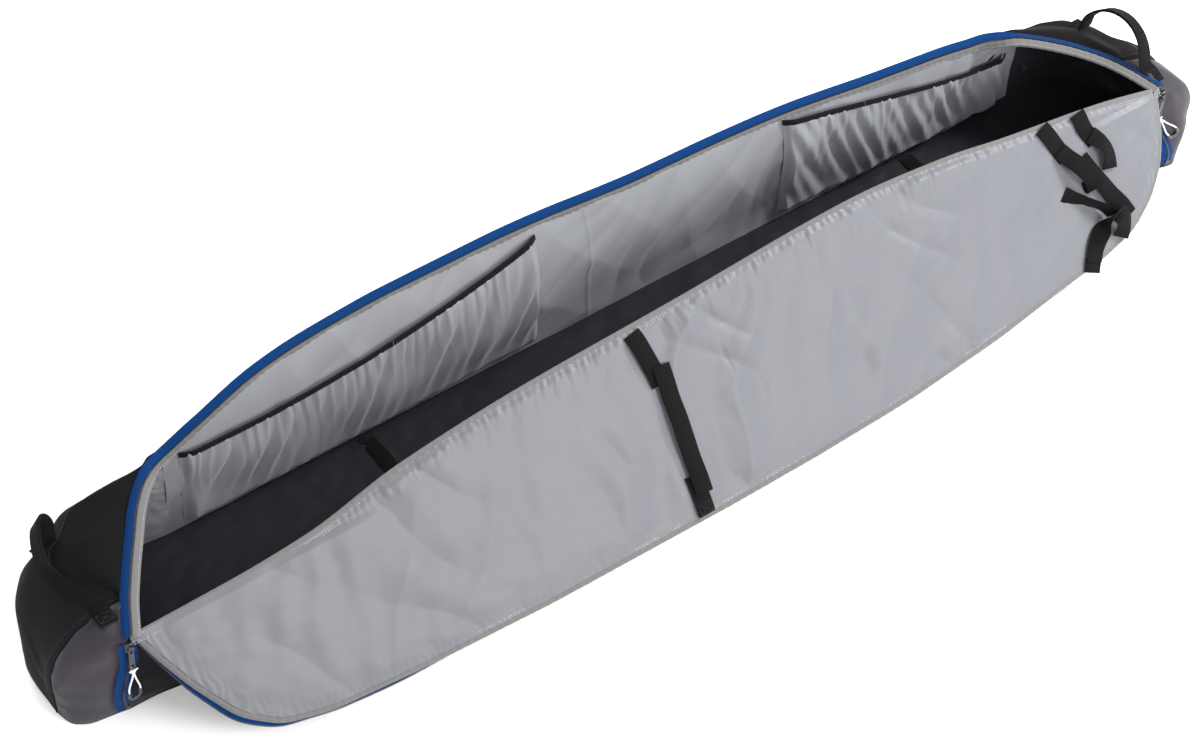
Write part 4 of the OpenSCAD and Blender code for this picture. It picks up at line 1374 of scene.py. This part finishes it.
def make_lid_straps():
    """The middle tab and long strap, and the three loose straps near the right end. Points are (x, s, up)."""
    over_hinge("mid_strap", [(-0.083, -0.047, 0.0055), (-0.081, -0.036, 0.0088), (-0.078, -0.018, 0.009),
                             (-0.0765, -0.0072, 0.009)],
               (-0.0756, 0.009),
               [(-0.0745, 0.0075, 0.009), (-0.073, 0.02, 0.0088), (-0.072, 0.036, 0.0075)], "mid_strap_tab")
    long_strap = webbing("mid_strap_webbing", lid_line([
        (-0.062, 0.0105, 0.0115), (-0.0635, 0.03, 0.0122), (-0.066, 0.06, 0.0115), (-0.068, 0.09, 0.0145),
        (-0.070, 0.12, 0.0140), (-0.071, 0.15, 0.0115), (-0.072, 0.18, 0.0125), (-0.073, 0.202, 0.0112)], 70), LID_UP)
    place(long_strap, "mid_strap", "webbing_black", "mid_strap")
    foot = webbing("mid_strap_foot_webbing", lid_line([(-0.078, 0.172, 0.0072), (-0.0785, 0.2, 0.0085),
                                                       (-0.079, 0.228, 0.0068), (-0.079, 0.232, 0.005)]), LID_UP)
    place(foot, "lid", "webbing_black", "lid_strap_patches")
    sewn = cross_stitch("mid_strap_sewing", lid_at(-0.079, 0.222, 0.0088), unit(LID_OUT), ALONG_X, LID_UP,
                        0.014, 0.020)
    place(sewn, "lid", "webbing_black")
    over_hinge("end_strap_upper", [(0.670, -0.033, 0.0065), (0.673, -0.025, 0.0085), (0.678, -0.012, 0.0082),
                                   (0.680, -0.0072, 0.0072)],
               (0.6825, 0.0068),
               [(0.685, 0.0075, 0.0066), (0.687, 0.014, 0.0066), (0.691, 0.024, 0.006)])
    over_hinge("end_strap_short", [(0.738, -0.028, 0.0065), (0.739, -0.022, 0.0082), (0.7395, -0.010, 0.0080),
                                   (0.740, -0.0072, 0.0076)],
               (0.7415, 0.0068),
               [(0.744, 0.0075, 0.0066), (0.747, 0.014, 0.0066), (0.750, 0.024, 0.006)])
    upper = webbing("end_strap_upper_webbing", lid_line([
        (0.685, 0.0105, 0.0095), (0.690, 0.022, 0.013), (0.700, 0.042, 0.022), (0.708, 0.060, 0.026),
        (0.714, 0.076, 0.022), (0.716, 0.086, 0.014), (0.715, 0.084, 0.0085), (0.716, 0.070, 0.0075)], 90),
        twist(LID_UP, LID_OUT, [0, 0.05, 0.1, 0.15, 0.5, 1.4, 2.6, 3.1]), smooth=0.008)
    under = webbing("end_strap_upper_end", lid_line([
        (0.716, 0.036, 0.009), (0.724, 0.056, 0.011), (0.735, 0.082, 0.011), (0.745, 0.106, 0.0095),
        (0.754, 0.128, 0.013), (0.762, 0.148, 0.0095)], 60), twist(LID_UP, ALONG_X, [0, 0.25, 0.2, 0.1, 0.0, -0.1]))
    place(upper, "end_strap_upper", "webbing_black", "end_strap_upper")
    place(under, "end_strap_upper", "webbing_black")
    short = webbing("end_strap_short_webbing", lid_line([
        (0.746, 0.0105, 0.0095), (0.751, 0.018, 0.012), (0.758, 0.030, 0.017), (0.7615, 0.044, 0.018),
        (0.7605, 0.058, 0.013), (0.758, 0.070, 0.0085)], 60), twist(LID_UP, ALONG_X, [0, 0.2, 0.4, 0.4, 0.2, 0.0]))
    place(short, "end_strap_short", "webbing_black", "end_strap_short")
    # The lower strap runs up from its sewn end, turns over, and comes back down beside itself
    lower = webbing("end_strap_lower_webbing", lid_line([
        (0.673, 0.186, 0.0085), (0.681, 0.170, 0.011), (0.692, 0.155, 0.015), (0.705, 0.142, 0.021),
        (0.716, 0.134, 0.027), (0.728, 0.132, 0.029), (0.737, 0.138, 0.027), (0.741, 0.150, 0.021),
        (0.740, 0.162, 0.0135), (0.734, 0.172, 0.0085)], 110),
        twist(LID_UP, -LID_OUT, [0, 0.1, 0.3, 0.6, 1.2, 1.8, 2.4, 2.8, 3.0, 3.1]), smooth=0.012)
    place(lower, "end_strap_lower", "webbing_black", "end_strap_lower")
    tail = webbing("end_strap_lower_end", lid_line([
        (0.666, 0.072, 0.0075), (0.676, 0.084, 0.009), (0.690, 0.094, 0.013), (0.706, 0.106, 0.017),
        (0.720, 0.120, 0.020), (0.727, 0.132, 0.020)], 70),
        twist(LID_UP, unit(LID_OUT - ALONG_X), [0.1, 0.5, 1.1, 1.3, 1.3, 1.2]), width=24 * MM, smooth=0.012)
    place(tail, "end_strap_lower", "webbing_black")
    root = webbing("end_strap_root_webbing", lid_line([(0.666, 0.2, 0.0042), (0.670, 0.192, 0.006),
                                                       (0.676, 0.180, 0.0066)]), LID_UP)
    place(root, "lid", "webbing_black")


def twist(face, side, turns):
    """The facing of a strap that rolls from face towards side, by the given angles."""
    angles = np.interp(np.linspace(0, len(turns) - 1, 80), np.arange(len(turns)), turns)
    return unit(np.array([face * math.cos(t) + side * math.sin(t) for t in angles]))


make_lid_straps()


def surface_z(grid, x, y):
    """Height of an end's top at a point of the plan."""
    top = grid[:, ROWS_WALL:].reshape(-1, 3)
    d = np.hypot(top[:, 0] - x, top[:, 1] - y)
    near = np.argsort(d)[:8]
    weight = 1 / (d[near] + 0.0005)
    return float((top[near, 2] * weight).sum() / weight.sum())


ROOT_X = 0.909  # the handles' sewn ends, and the line that each handle swings about
HANDLE_X, HANDLE_Z = 0.905, 0.180
HANDLE_SPAN, HANDLE_RISE = 0.065, 0.048
HANDLE_STEP = 2.5 * MM


def sewn_end(side, grid, y_centre, end):
    """Points of a handle's sewn end, from its tip to where the handle lifts off."""
    points = []
    for reach in np.linspace(0.094, 0.070, 6):
        x, y = side * ROOT_X, y_centre + end * reach
        points.append((x, y, surface_z(grid, x, y) + 0.0022))
    x, y = side * (ROOT_X - 0.001), y_centre + end * 0.0665
    return points + [(x, y, surface_z(grid, x, y) + 0.0045)]


def make_handle(side, name, grid, y_centre, lean):
    """A webbing handle whose grip is folded narrower and thicker in the middle, sewn down at both ends."""
    lean = math.radians(lean)
    up = np.array([side * math.sin(lean), 0, math.cos(lean)])
    flat = np.array([side * math.cos(lean), 0, -math.sin(lean)]) * side
    radius = (HANDLE_SPAN ** 2 + HANDLE_RISE ** 2) / (2 * HANDLE_RISE)
    hinge = np.array([side * HANDLE_X, y_centre, HANDLE_Z])
    swing = math.asin(HANDLE_SPAN / radius)
    points = sewn_end(side, grid, y_centre, -1)
    tail = sewn_end(side, grid, y_centre, 1)[::-1]
    across = [ALONG_X] * len(points)
    for angle in np.linspace(-swing + 0.10, swing - 0.10, 41):
        bend = hinge + np.array([0, radius * math.sin(angle), 0])
        bend = bend + up * (HANDLE_RISE - radius + radius * math.cos(angle))
        if side < 0:
            # The left handle's arch is pushed up and back
            bend = bend + np.array([0.005, 0.016, 0.024]) * math.exp(-((angle / swing - 0.7) / 0.34) ** 2)
        points.append(bend)
        across.append(flat)
    points = np.array(points + tail)
    across = np.array(across + [ALONG_X] * len(tail))
    fine = resample(points, HANDLE_STEP)
    length = run_length(points)
    at = np.linspace(0, length[-1], len(fine))
    across = soften(rows_at(at, length, across), 0.03, HANDLE_STEP)
    fine = soften(fine, 0.022, HANDLE_STEP)
    along = tangents(fine)
    across = unit(across - along * np.sum(across * along, axis=1, keepdims=True))
    facing = unit(np.cross(along, across))
    outline = np.array(tape_outline(27 * MM, 2.2 * MM, 3))
    middle = np.exp(-((at - length[-1] / 2) / 0.05) ** 4)[:, None, None]
    rings = (fine[:, None] + across[:, None] * (outline[None, :, :1] * (1 - 0.22 * middle))
             + facing[:, None] * (outline[None, :, 1:2] * (1 + 1.2 * middle)))
    obj = new_object(f"{name}_handle_webbing", rings.reshape(-1, 3), ring_faces(len(fine), len(outline)),
                     webbing_cloth, grid_uv(at, round_length(outline)))
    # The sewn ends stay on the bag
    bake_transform(obj)
    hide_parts(f"{name}_handle", *(["handle_patches"] if side < 0 else []))
    for end, end_name in ((-1, "front"), (1, "back")):
        x, y = side * ROOT_X, y_centre + end * 0.083
        here, near = (np.array([x, y_there, surface_z(grid, x, y_there) + 0.0036])
                      for y_there in (y, y - end * 0.01))
        slope = unit(near - here)
        normal = unit(np.cross(ALONG_X, slope)) * (1 if slope[1] > 0 else -1)
        sewing = cross_stitch(f"{name}_handle_sewing_{end_name}", here, slope, ALONG_X, normal, 0.016, 0.020)
        place(sewing, "bag", "webbing_black")


make_handle(-1, "left", left_grid, 0.012, 55)
make_handle(1, "right", right_grid, -0.008, 20)


# ---------- closed zips, sliders and pulls ----------

def rounded_block(name, centre, size, bevel):
    """A moulded block with rounded edges."""
    mesh = bpy.data.meshes.new(name)
    x, y, z = (v / 2 for v in size)
    verts = [(sx * x, sy * y, sz * z) for sx in (-1, 1) for sy in (-1, 1) for sz in (-1, 1)]
    faces = [(0, 1, 3, 2), (4, 6, 7, 5), (0, 4, 5, 1), (2, 3, 7, 6), (0, 2, 6, 4), (1, 5, 7, 3)]
    mesh.from_pydata(verts, [], faces)
    mesh.materials.append(black_plastic)
    obj = bpy.data.objects.new(name, mesh)
    bpy.context.scene.collection.objects.link(obj)
    obj.location = centre
    modifier = obj.modifiers.new("bevel", "BEVEL")
    modifier.width = bevel
    modifier.segments = 3
    bpy.context.view_layer.update()
    baked = bpy.data.meshes.new_from_object(obj.evaluated_get(bpy.context.evaluated_depsgraph_get()))
    obj.modifiers.clear()
    obj.data = baked
    baked.transform(Matrix.Translation(centre))
    obj.location = (0, 0, 0)
    baked.shade_smooth()
    baked.set_sharp_from_angle(angle=math.radians(40))
    return obj


def tube(name, path, radius, material, steps=12, closed_ends=True, flat=1.0, facing=(0, -1, 0)):
    """A round or flattened tube along a path. radius is one value or one for each point."""
    path = np.asarray(path, float)
    along = tangents(path)
    across = unit(np.cross(np.asarray(facing, float), along) + 1e-9)
    up = unit(np.cross(along, across))
    radius = np.broadcast_to(radius, len(path))
    angles = np.linspace(0, 2 * math.pi, steps, endpoint=False)
    rings = path[:, None] + radius[:, None, None] * (across[:, None] * np.cos(angles)[None, :, None]
                                                     + up[:, None] * np.sin(angles)[None, :, None] * flat)
    uv = grid_uv(run_length(path), angles * radius.mean())
    return new_object(name, rings.reshape(-1, 3), ring_faces(len(path), steps, closed_ends), material, uv)


def capped(path, radius, rounds=4):
    """Radii for a tube whose ends close in a round tip."""
    r = np.full(len(path), radius)
    for i in range(rounds):
        k = math.sqrt(1 - (1 - (i + 0.25) / rounds) ** 2)
        r[i] = radius * k
        r[-1 - i] = radius * k
    return r


SLIDER_Z = 0.164
PIN_Y = -0.125


def make_closed_zip(side, name):
    """The closed stretch of zip at one front corner: two tapes, interlocked teeth and the bottom stop."""
    z = np.linspace(0.012, 0.171 if side < 0 else 0.166, 60)
    drift_x, drift_y = zip_drift(side, z)
    path = np.column_stack([side * HINGE_X + drift_x, -HALF_W - 0.0026 + drift_y, z])
    along = tangents(path)
    front = unit(np.cross(along, ALONG_X))
    front = front * np.sign(-front[:, 1:2])
    # The nodes for both corners are replaced from the left one
    tape_node, coil_node, stop_node = (([n] if side < 0 else []) for n in
                                       ("closed_zip_tapes", "closed_zip_coils", "zip_stops"))
    for half in (-1, 1):
        tilt = unit(ALONG_X - half * 0.12 * front)
        tape = swept(f"{name}_closed_tape_{'out' if half * side > 0 else 'in'}",
                     path + ALONG_X * half * 7.7 * MM - front * 0.2 * MM, tilt, unit(np.cross(along, tilt)),
                     tape_outline(12.5 * MM, 1.3 * MM, 3), zip_cloth)
        place(tape, "bag", "zip_blue", *(tape_node if half < 0 else []))
    teeth_at = resample(path + front * 1.2 * MM, 1.1 * MM)
    swing = np.where(np.arange(len(teeth_at)) % 2 == 0, 1.0, -1.0)[:, None] * ALONG_X * 0.9 * MM
    teeth = stamped(f"{name}_closed_teeth", teeth_at + swing, ALONG_X, tangents(teeth_at), -ALONG_Y,
                    (3.4 * MM, 0.95 * MM, 2.4 * MM), coil_plastic, 0.75)
    place(teeth, "bag", "zip_coil", *coil_node)
    stop = rounded_block(f"{name}_zip_stop", tuple(path[1] + front[1] * 1.4 * MM + [0, 0, 0.002]),
                         (7 * MM, 4.4 * MM, 5 * MM), 0.8 * MM)
    place(stop, "bag", "hardware_black", *stop_node)


make_closed_zip(-1, "left")
make_closed_zip(1, "right")


def make_slider(side, name):
    """A slider: its face plate, and a frame of two sides, two lugs and the pin that the pull hangs on."""
    x, body = side * HINGE_X, f"{name}_slider"
    plate = rounded_block(f"{body}_plate", (x, -0.1208, SLIDER_Z), (10.8 * MM, 2.4 * MM, 16 * MM), 1.0 * MM)
    place(plate, body, "hardware_black", body)
    parts = []
    for kind, gap, y, size, bevel in (("side", 4.9 * MM, -0.1183, (1.3 * MM, 3.4 * MM, 15 * MM), 0.4 * MM),
                                      ("lug", 4.2 * MM, -0.1242, (1.6 * MM, 5.2 * MM, 4 * MM), 0.5 * MM)):
        parts += [rounded_block(f"{body}_{kind}_{i}", (x + sx * gap, y, SLIDER_Z), size, bevel)
                  for i, sx in enumerate((-1, 1))]
    pin = [(x + dx * MM, PIN_Y, SLIDER_Z) for dx in np.linspace(-4.6, 4.6, 12)]
    parts.append(tube(f"{body}_pin", pin, capped(pin, 1.0 * MM), black_plastic, facing=ALONG_Z))
    place(joined(f"{body}_frame", parts), body, "hardware_black")


LEAN_OUT = math.radians(38)


def lay_out(piece, side, knot_z):
    """The right pull's cord lies out over the end panel instead of hanging straight."""
    if side < 0:
        return
    for vertex in piece.data.vertices:
        down = max(knot_z + 0.004 - vertex.co.z, 0.0)
        lean = LEAN_OUT * float(ease(down / 0.012))
        across = vertex.co.x - HINGE_X
        vertex.co.x = HINGE_X + across * math.cos(lean) + down * math.sin(lean)
        vertex.co.z += down * (1 - math.cos(lean)) + across * math.sin(lean)
        vertex.co.y -= 0.010 * float(ease(down / 0.05))


STRAND = 54 * MM  # from the knot to the grip
TAB_LENGTH = 40.5 * MM
KNOT_DROP = 47.6 * MM
GRIP_HALF = 8 * MM


def make_pull(side, name):
    """A pull: its tab, a knotted cord of two strands and a ribbed grip that holds them apart."""
    x, y, top = side * HINGE_X, PIN_Y, SLIDER_Z
    body = f"{name}_pull"
    # A loop of flat bar: an eye round the pin, two sides and a smaller eye at the foot
    loop = [(x + 2.7 * MM * math.cos(a), y, top + 1.6 * MM + 1.2 * MM * math.sin(a))
            for a in np.linspace(0, math.pi, 12)]
    loop += [(x + 3.2 * MM * math.cos(a), y, top - TAB_LENGTH + 3.2 * MM * math.sin(a))
             for a in np.linspace(math.pi, 2 * math.pi, 12)]
    dense = resample(loop + loop[:1], 1.2 * MM)[:-1]
    tab = tube(f"{body}_tab", dense, 1.25 * MM, black_plastic, 10, closed_ends=False, flat=0.8)
    place(tab, body, "hardware_black", body)
    web = rounded_block(f"{body}_web", (x, y, top - 21 * MM), (5.0 * MM, 1.1 * MM, 24 * MM), 0.4 * MM)
    place(web, body, "hardware_black")
    # Cord: a half hitch at the tab's foot and two strands down into the grip
    knot_z = top - KNOT_DROP
    foot_z = knot_z - STRAND
    first_z, last_z = knot_z + 2 * MM, foot_z + 3 * MM
    parts = []
    for i, sx in enumerate((-1, 1)):
        line = [(x + GRIP_HALF * ease(t * 1.15) * sx + 0.5 * MM * math.sin(7 * t + i),
                 y - 0.8 * MM * math.sin(math.pi * t), first_z - (first_z - last_z) * t)
                for t in np.linspace(0, 1, 30)]
        parts.append(tube(f"{body}_strand_{i}", line, capped(line, 1.2 * MM, 2), cord_cloth, 10))
    turns = [(x + 2.5 * MM * math.cos(t), y + 1.9 * MM * math.sin(t),
              knot_z + 2.4 * MM * math.sin(t * 0.42) + 0.4 * MM) for t in np.linspace(0, 2 * math.pi * 2.25, 60)]
    parts.append(tube(f"{body}_knot", turns, capped(turns, 1.25 * MM, 3), cord_cloth, 10, facing=ALONG_Z))
    for i, sx in enumerate((-1, 1)):
        tail = [(x + sx * (1.5 + 5 * t) * MM, y - (1.5 + 0.8 * t) * MM, knot_z + (1.0 + 3.2 * t) * MM)
                for t in np.linspace(0, 1, 10)]
        parts.append(tube(f"{body}_tail_{i}", tail, capped(tail, 1.1 * MM, 2), cord_cloth, 10))
    bight_z = top - TAB_LENGTH - 4 * MM
    bight = [(x + 1.3 * MM * math.sin(t), y + 2.2 * MM * math.cos(t), bight_z - 2.6 * MM * math.sin(t))
             for t in np.linspace(-0.5, math.pi + 0.5, 20)]
    parts.append(tube(f"{body}_bight", bight, 1.15 * MM, cord_cloth, 10, facing=ALONG_X))
    cord = joined(f"{body}_cord_braid", parts)
    lay_out(cord, side, knot_z)
    place(cord, body, "cord_white", f"{body}_cord")
    bend = [(x + GRIP_HALF, y, foot_z + (9 - i) * MM) for i in range(9)]
    bend += [(x + GRIP_HALF * math.cos(a), y, foot_z - GRIP_HALF * math.sin(a))
             for a in np.linspace(0, math.pi, 26)]
    bend += [(x - GRIP_HALF, y, foot_z + (i + 1) * MM) for i in range(9)]
    grip_path = soften(resample(bend, 1 * MM), 0.006, 1 * MM)
    ribs = 1 + 0.06 * np.sin(run_length(grip_path) * 2 * math.pi / 0.0028)
    grip = tube(f"{body}_grip", grip_path, capped(grip_path, 2.7 * MM) * ribs, black_plastic, 14, flat=0.85)
    lay_out(grip, side, knot_z)
    place(grip, body, "hardware_black")


for zip_side, zip_name in ((-1, "left"), (1, "right")):
    make_slider(zip_side, zip_name)
    make_pull(zip_side, zip_name)


# ---------- tie-down straps and carried-over hardware ----------

def tie_webbing(name, points, thick=1.7 * MM, count=30, smooth=0.02):
    """A stretch of tie-down webbing, face up, along straight lines between points."""
    points = np.array(points, float)
    t = run_length(points)
    path = rows_at(np.linspace(0, t[-1], count), t, points)
    return webbing(name, path, ALONG_Z, 25 * MM, thick, smooth)


def make_ties():
    """Two tie-down straps across the floor: a back half, a front half with a loose tail, and patches."""
    for name, x in (("left", -0.4), ("right", 0.6)):
        z = FLOOR_Z + 2.3 * MM
        back = tie_webbing(f"{name}_tie_back_webbing", [
            (x, 0.0885, z + 0.4 * MM), (x, 0.074, z + 0.8 * MM), (x + 0.001, 0.055, z + 2.6 * MM),
            (x, 0.035, z + 1.6 * MM), (x, 0.0192, z + 1.2 * MM)])
        place(back, f"{name}_tie_back", "webbing_black", f"{name}_tie_back")
        front = tie_webbing(f"{name}_tie_front_webbing", [
            (x, -0.0885, z + 0.4 * MM), (x, -0.076, z + 1.0 * MM), (x - 0.001, -0.068, z + 1.8 * MM),
            (x, -0.0592, z + 2.0 * MM)])
        place(front, f"{name}_tie_front", "webbing_black", f"{name}_tie_front")
        tail = tie_webbing(f"{name}_tie_tail", [
            (x, -0.0588, z + 6.5 * MM), (x, -0.064, z + 8.5 * MM), (x + 0.002, -0.074, z + 6.5 * MM),
            (x + 0.004, -0.084, z + 5.0 * MM)])
        place(tail, f"{name}_tie_front", "webbing_black")
        for end, y in (("back", 0.0905), ("front", -0.094)):
            patch_z = FLOOR_Z + 1.9 * MM
            patch = tie_webbing(f"{name}_tie_patch_{end}", [(x, y - 0.006, patch_z), (x, y + 0.006, patch_z)],
                                1.4 * MM, 6, 0.002)
            place(patch, "bag", "webbing_black", *(["tie_patches"] if end == "back" and name == "left" else []))
            sewing = cross_stitch(f"{name}_tie_sewing_{end}", np.array([x, y, patch_z + 1 * MM]), ALONG_Y, ALONG_X,
                                  ALONG_Z, 0.008, 0.019)
            place(sewing, "bag", "webbing_black")


make_ties()


def finish_node(node, bevel):
    """Gives a moulded part that stays as it is its material and rounded edges."""
    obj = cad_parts[node]
    obj.data.materials.clear()
    obj.data.materials.append(black_plastic)
    weld = obj.modifiers.new("weld", "WELD")
    weld.merge_threshold = 0.00002
    edge = obj.modifiers.new("bevel", "BEVEL")
    edge.width = bevel
    edge.segments = 2
    edge.limit_method = "ANGLE"
    edge.angle_limit = math.radians(50)
    edge.harden_normals = True


for node_name in ("left_buckle_socket", "right_buckle_socket", "left_buckle_plug", "right_buckle_plug"):
    finish_node(node_name, 0.7 * MM)
finish_node("vent_eyelet", 0.4 * MM)


def make_board():
    """The stiff board between the base cloth and the base lining."""
    x, y = floor_grid(left_inner[:, 1, :2], right_inner[:, 1, :2], 160, 12, 0.006, LINER_INSET)
    grid = np.stack([x, y, 0 * x + FLOOR_Z - 1.7 * MM], axis=2)
    place(cloth_panel("base_stiffener", grid, board_sheet, 4.6 * MM), "bag", "board", "base_board")


make_board()
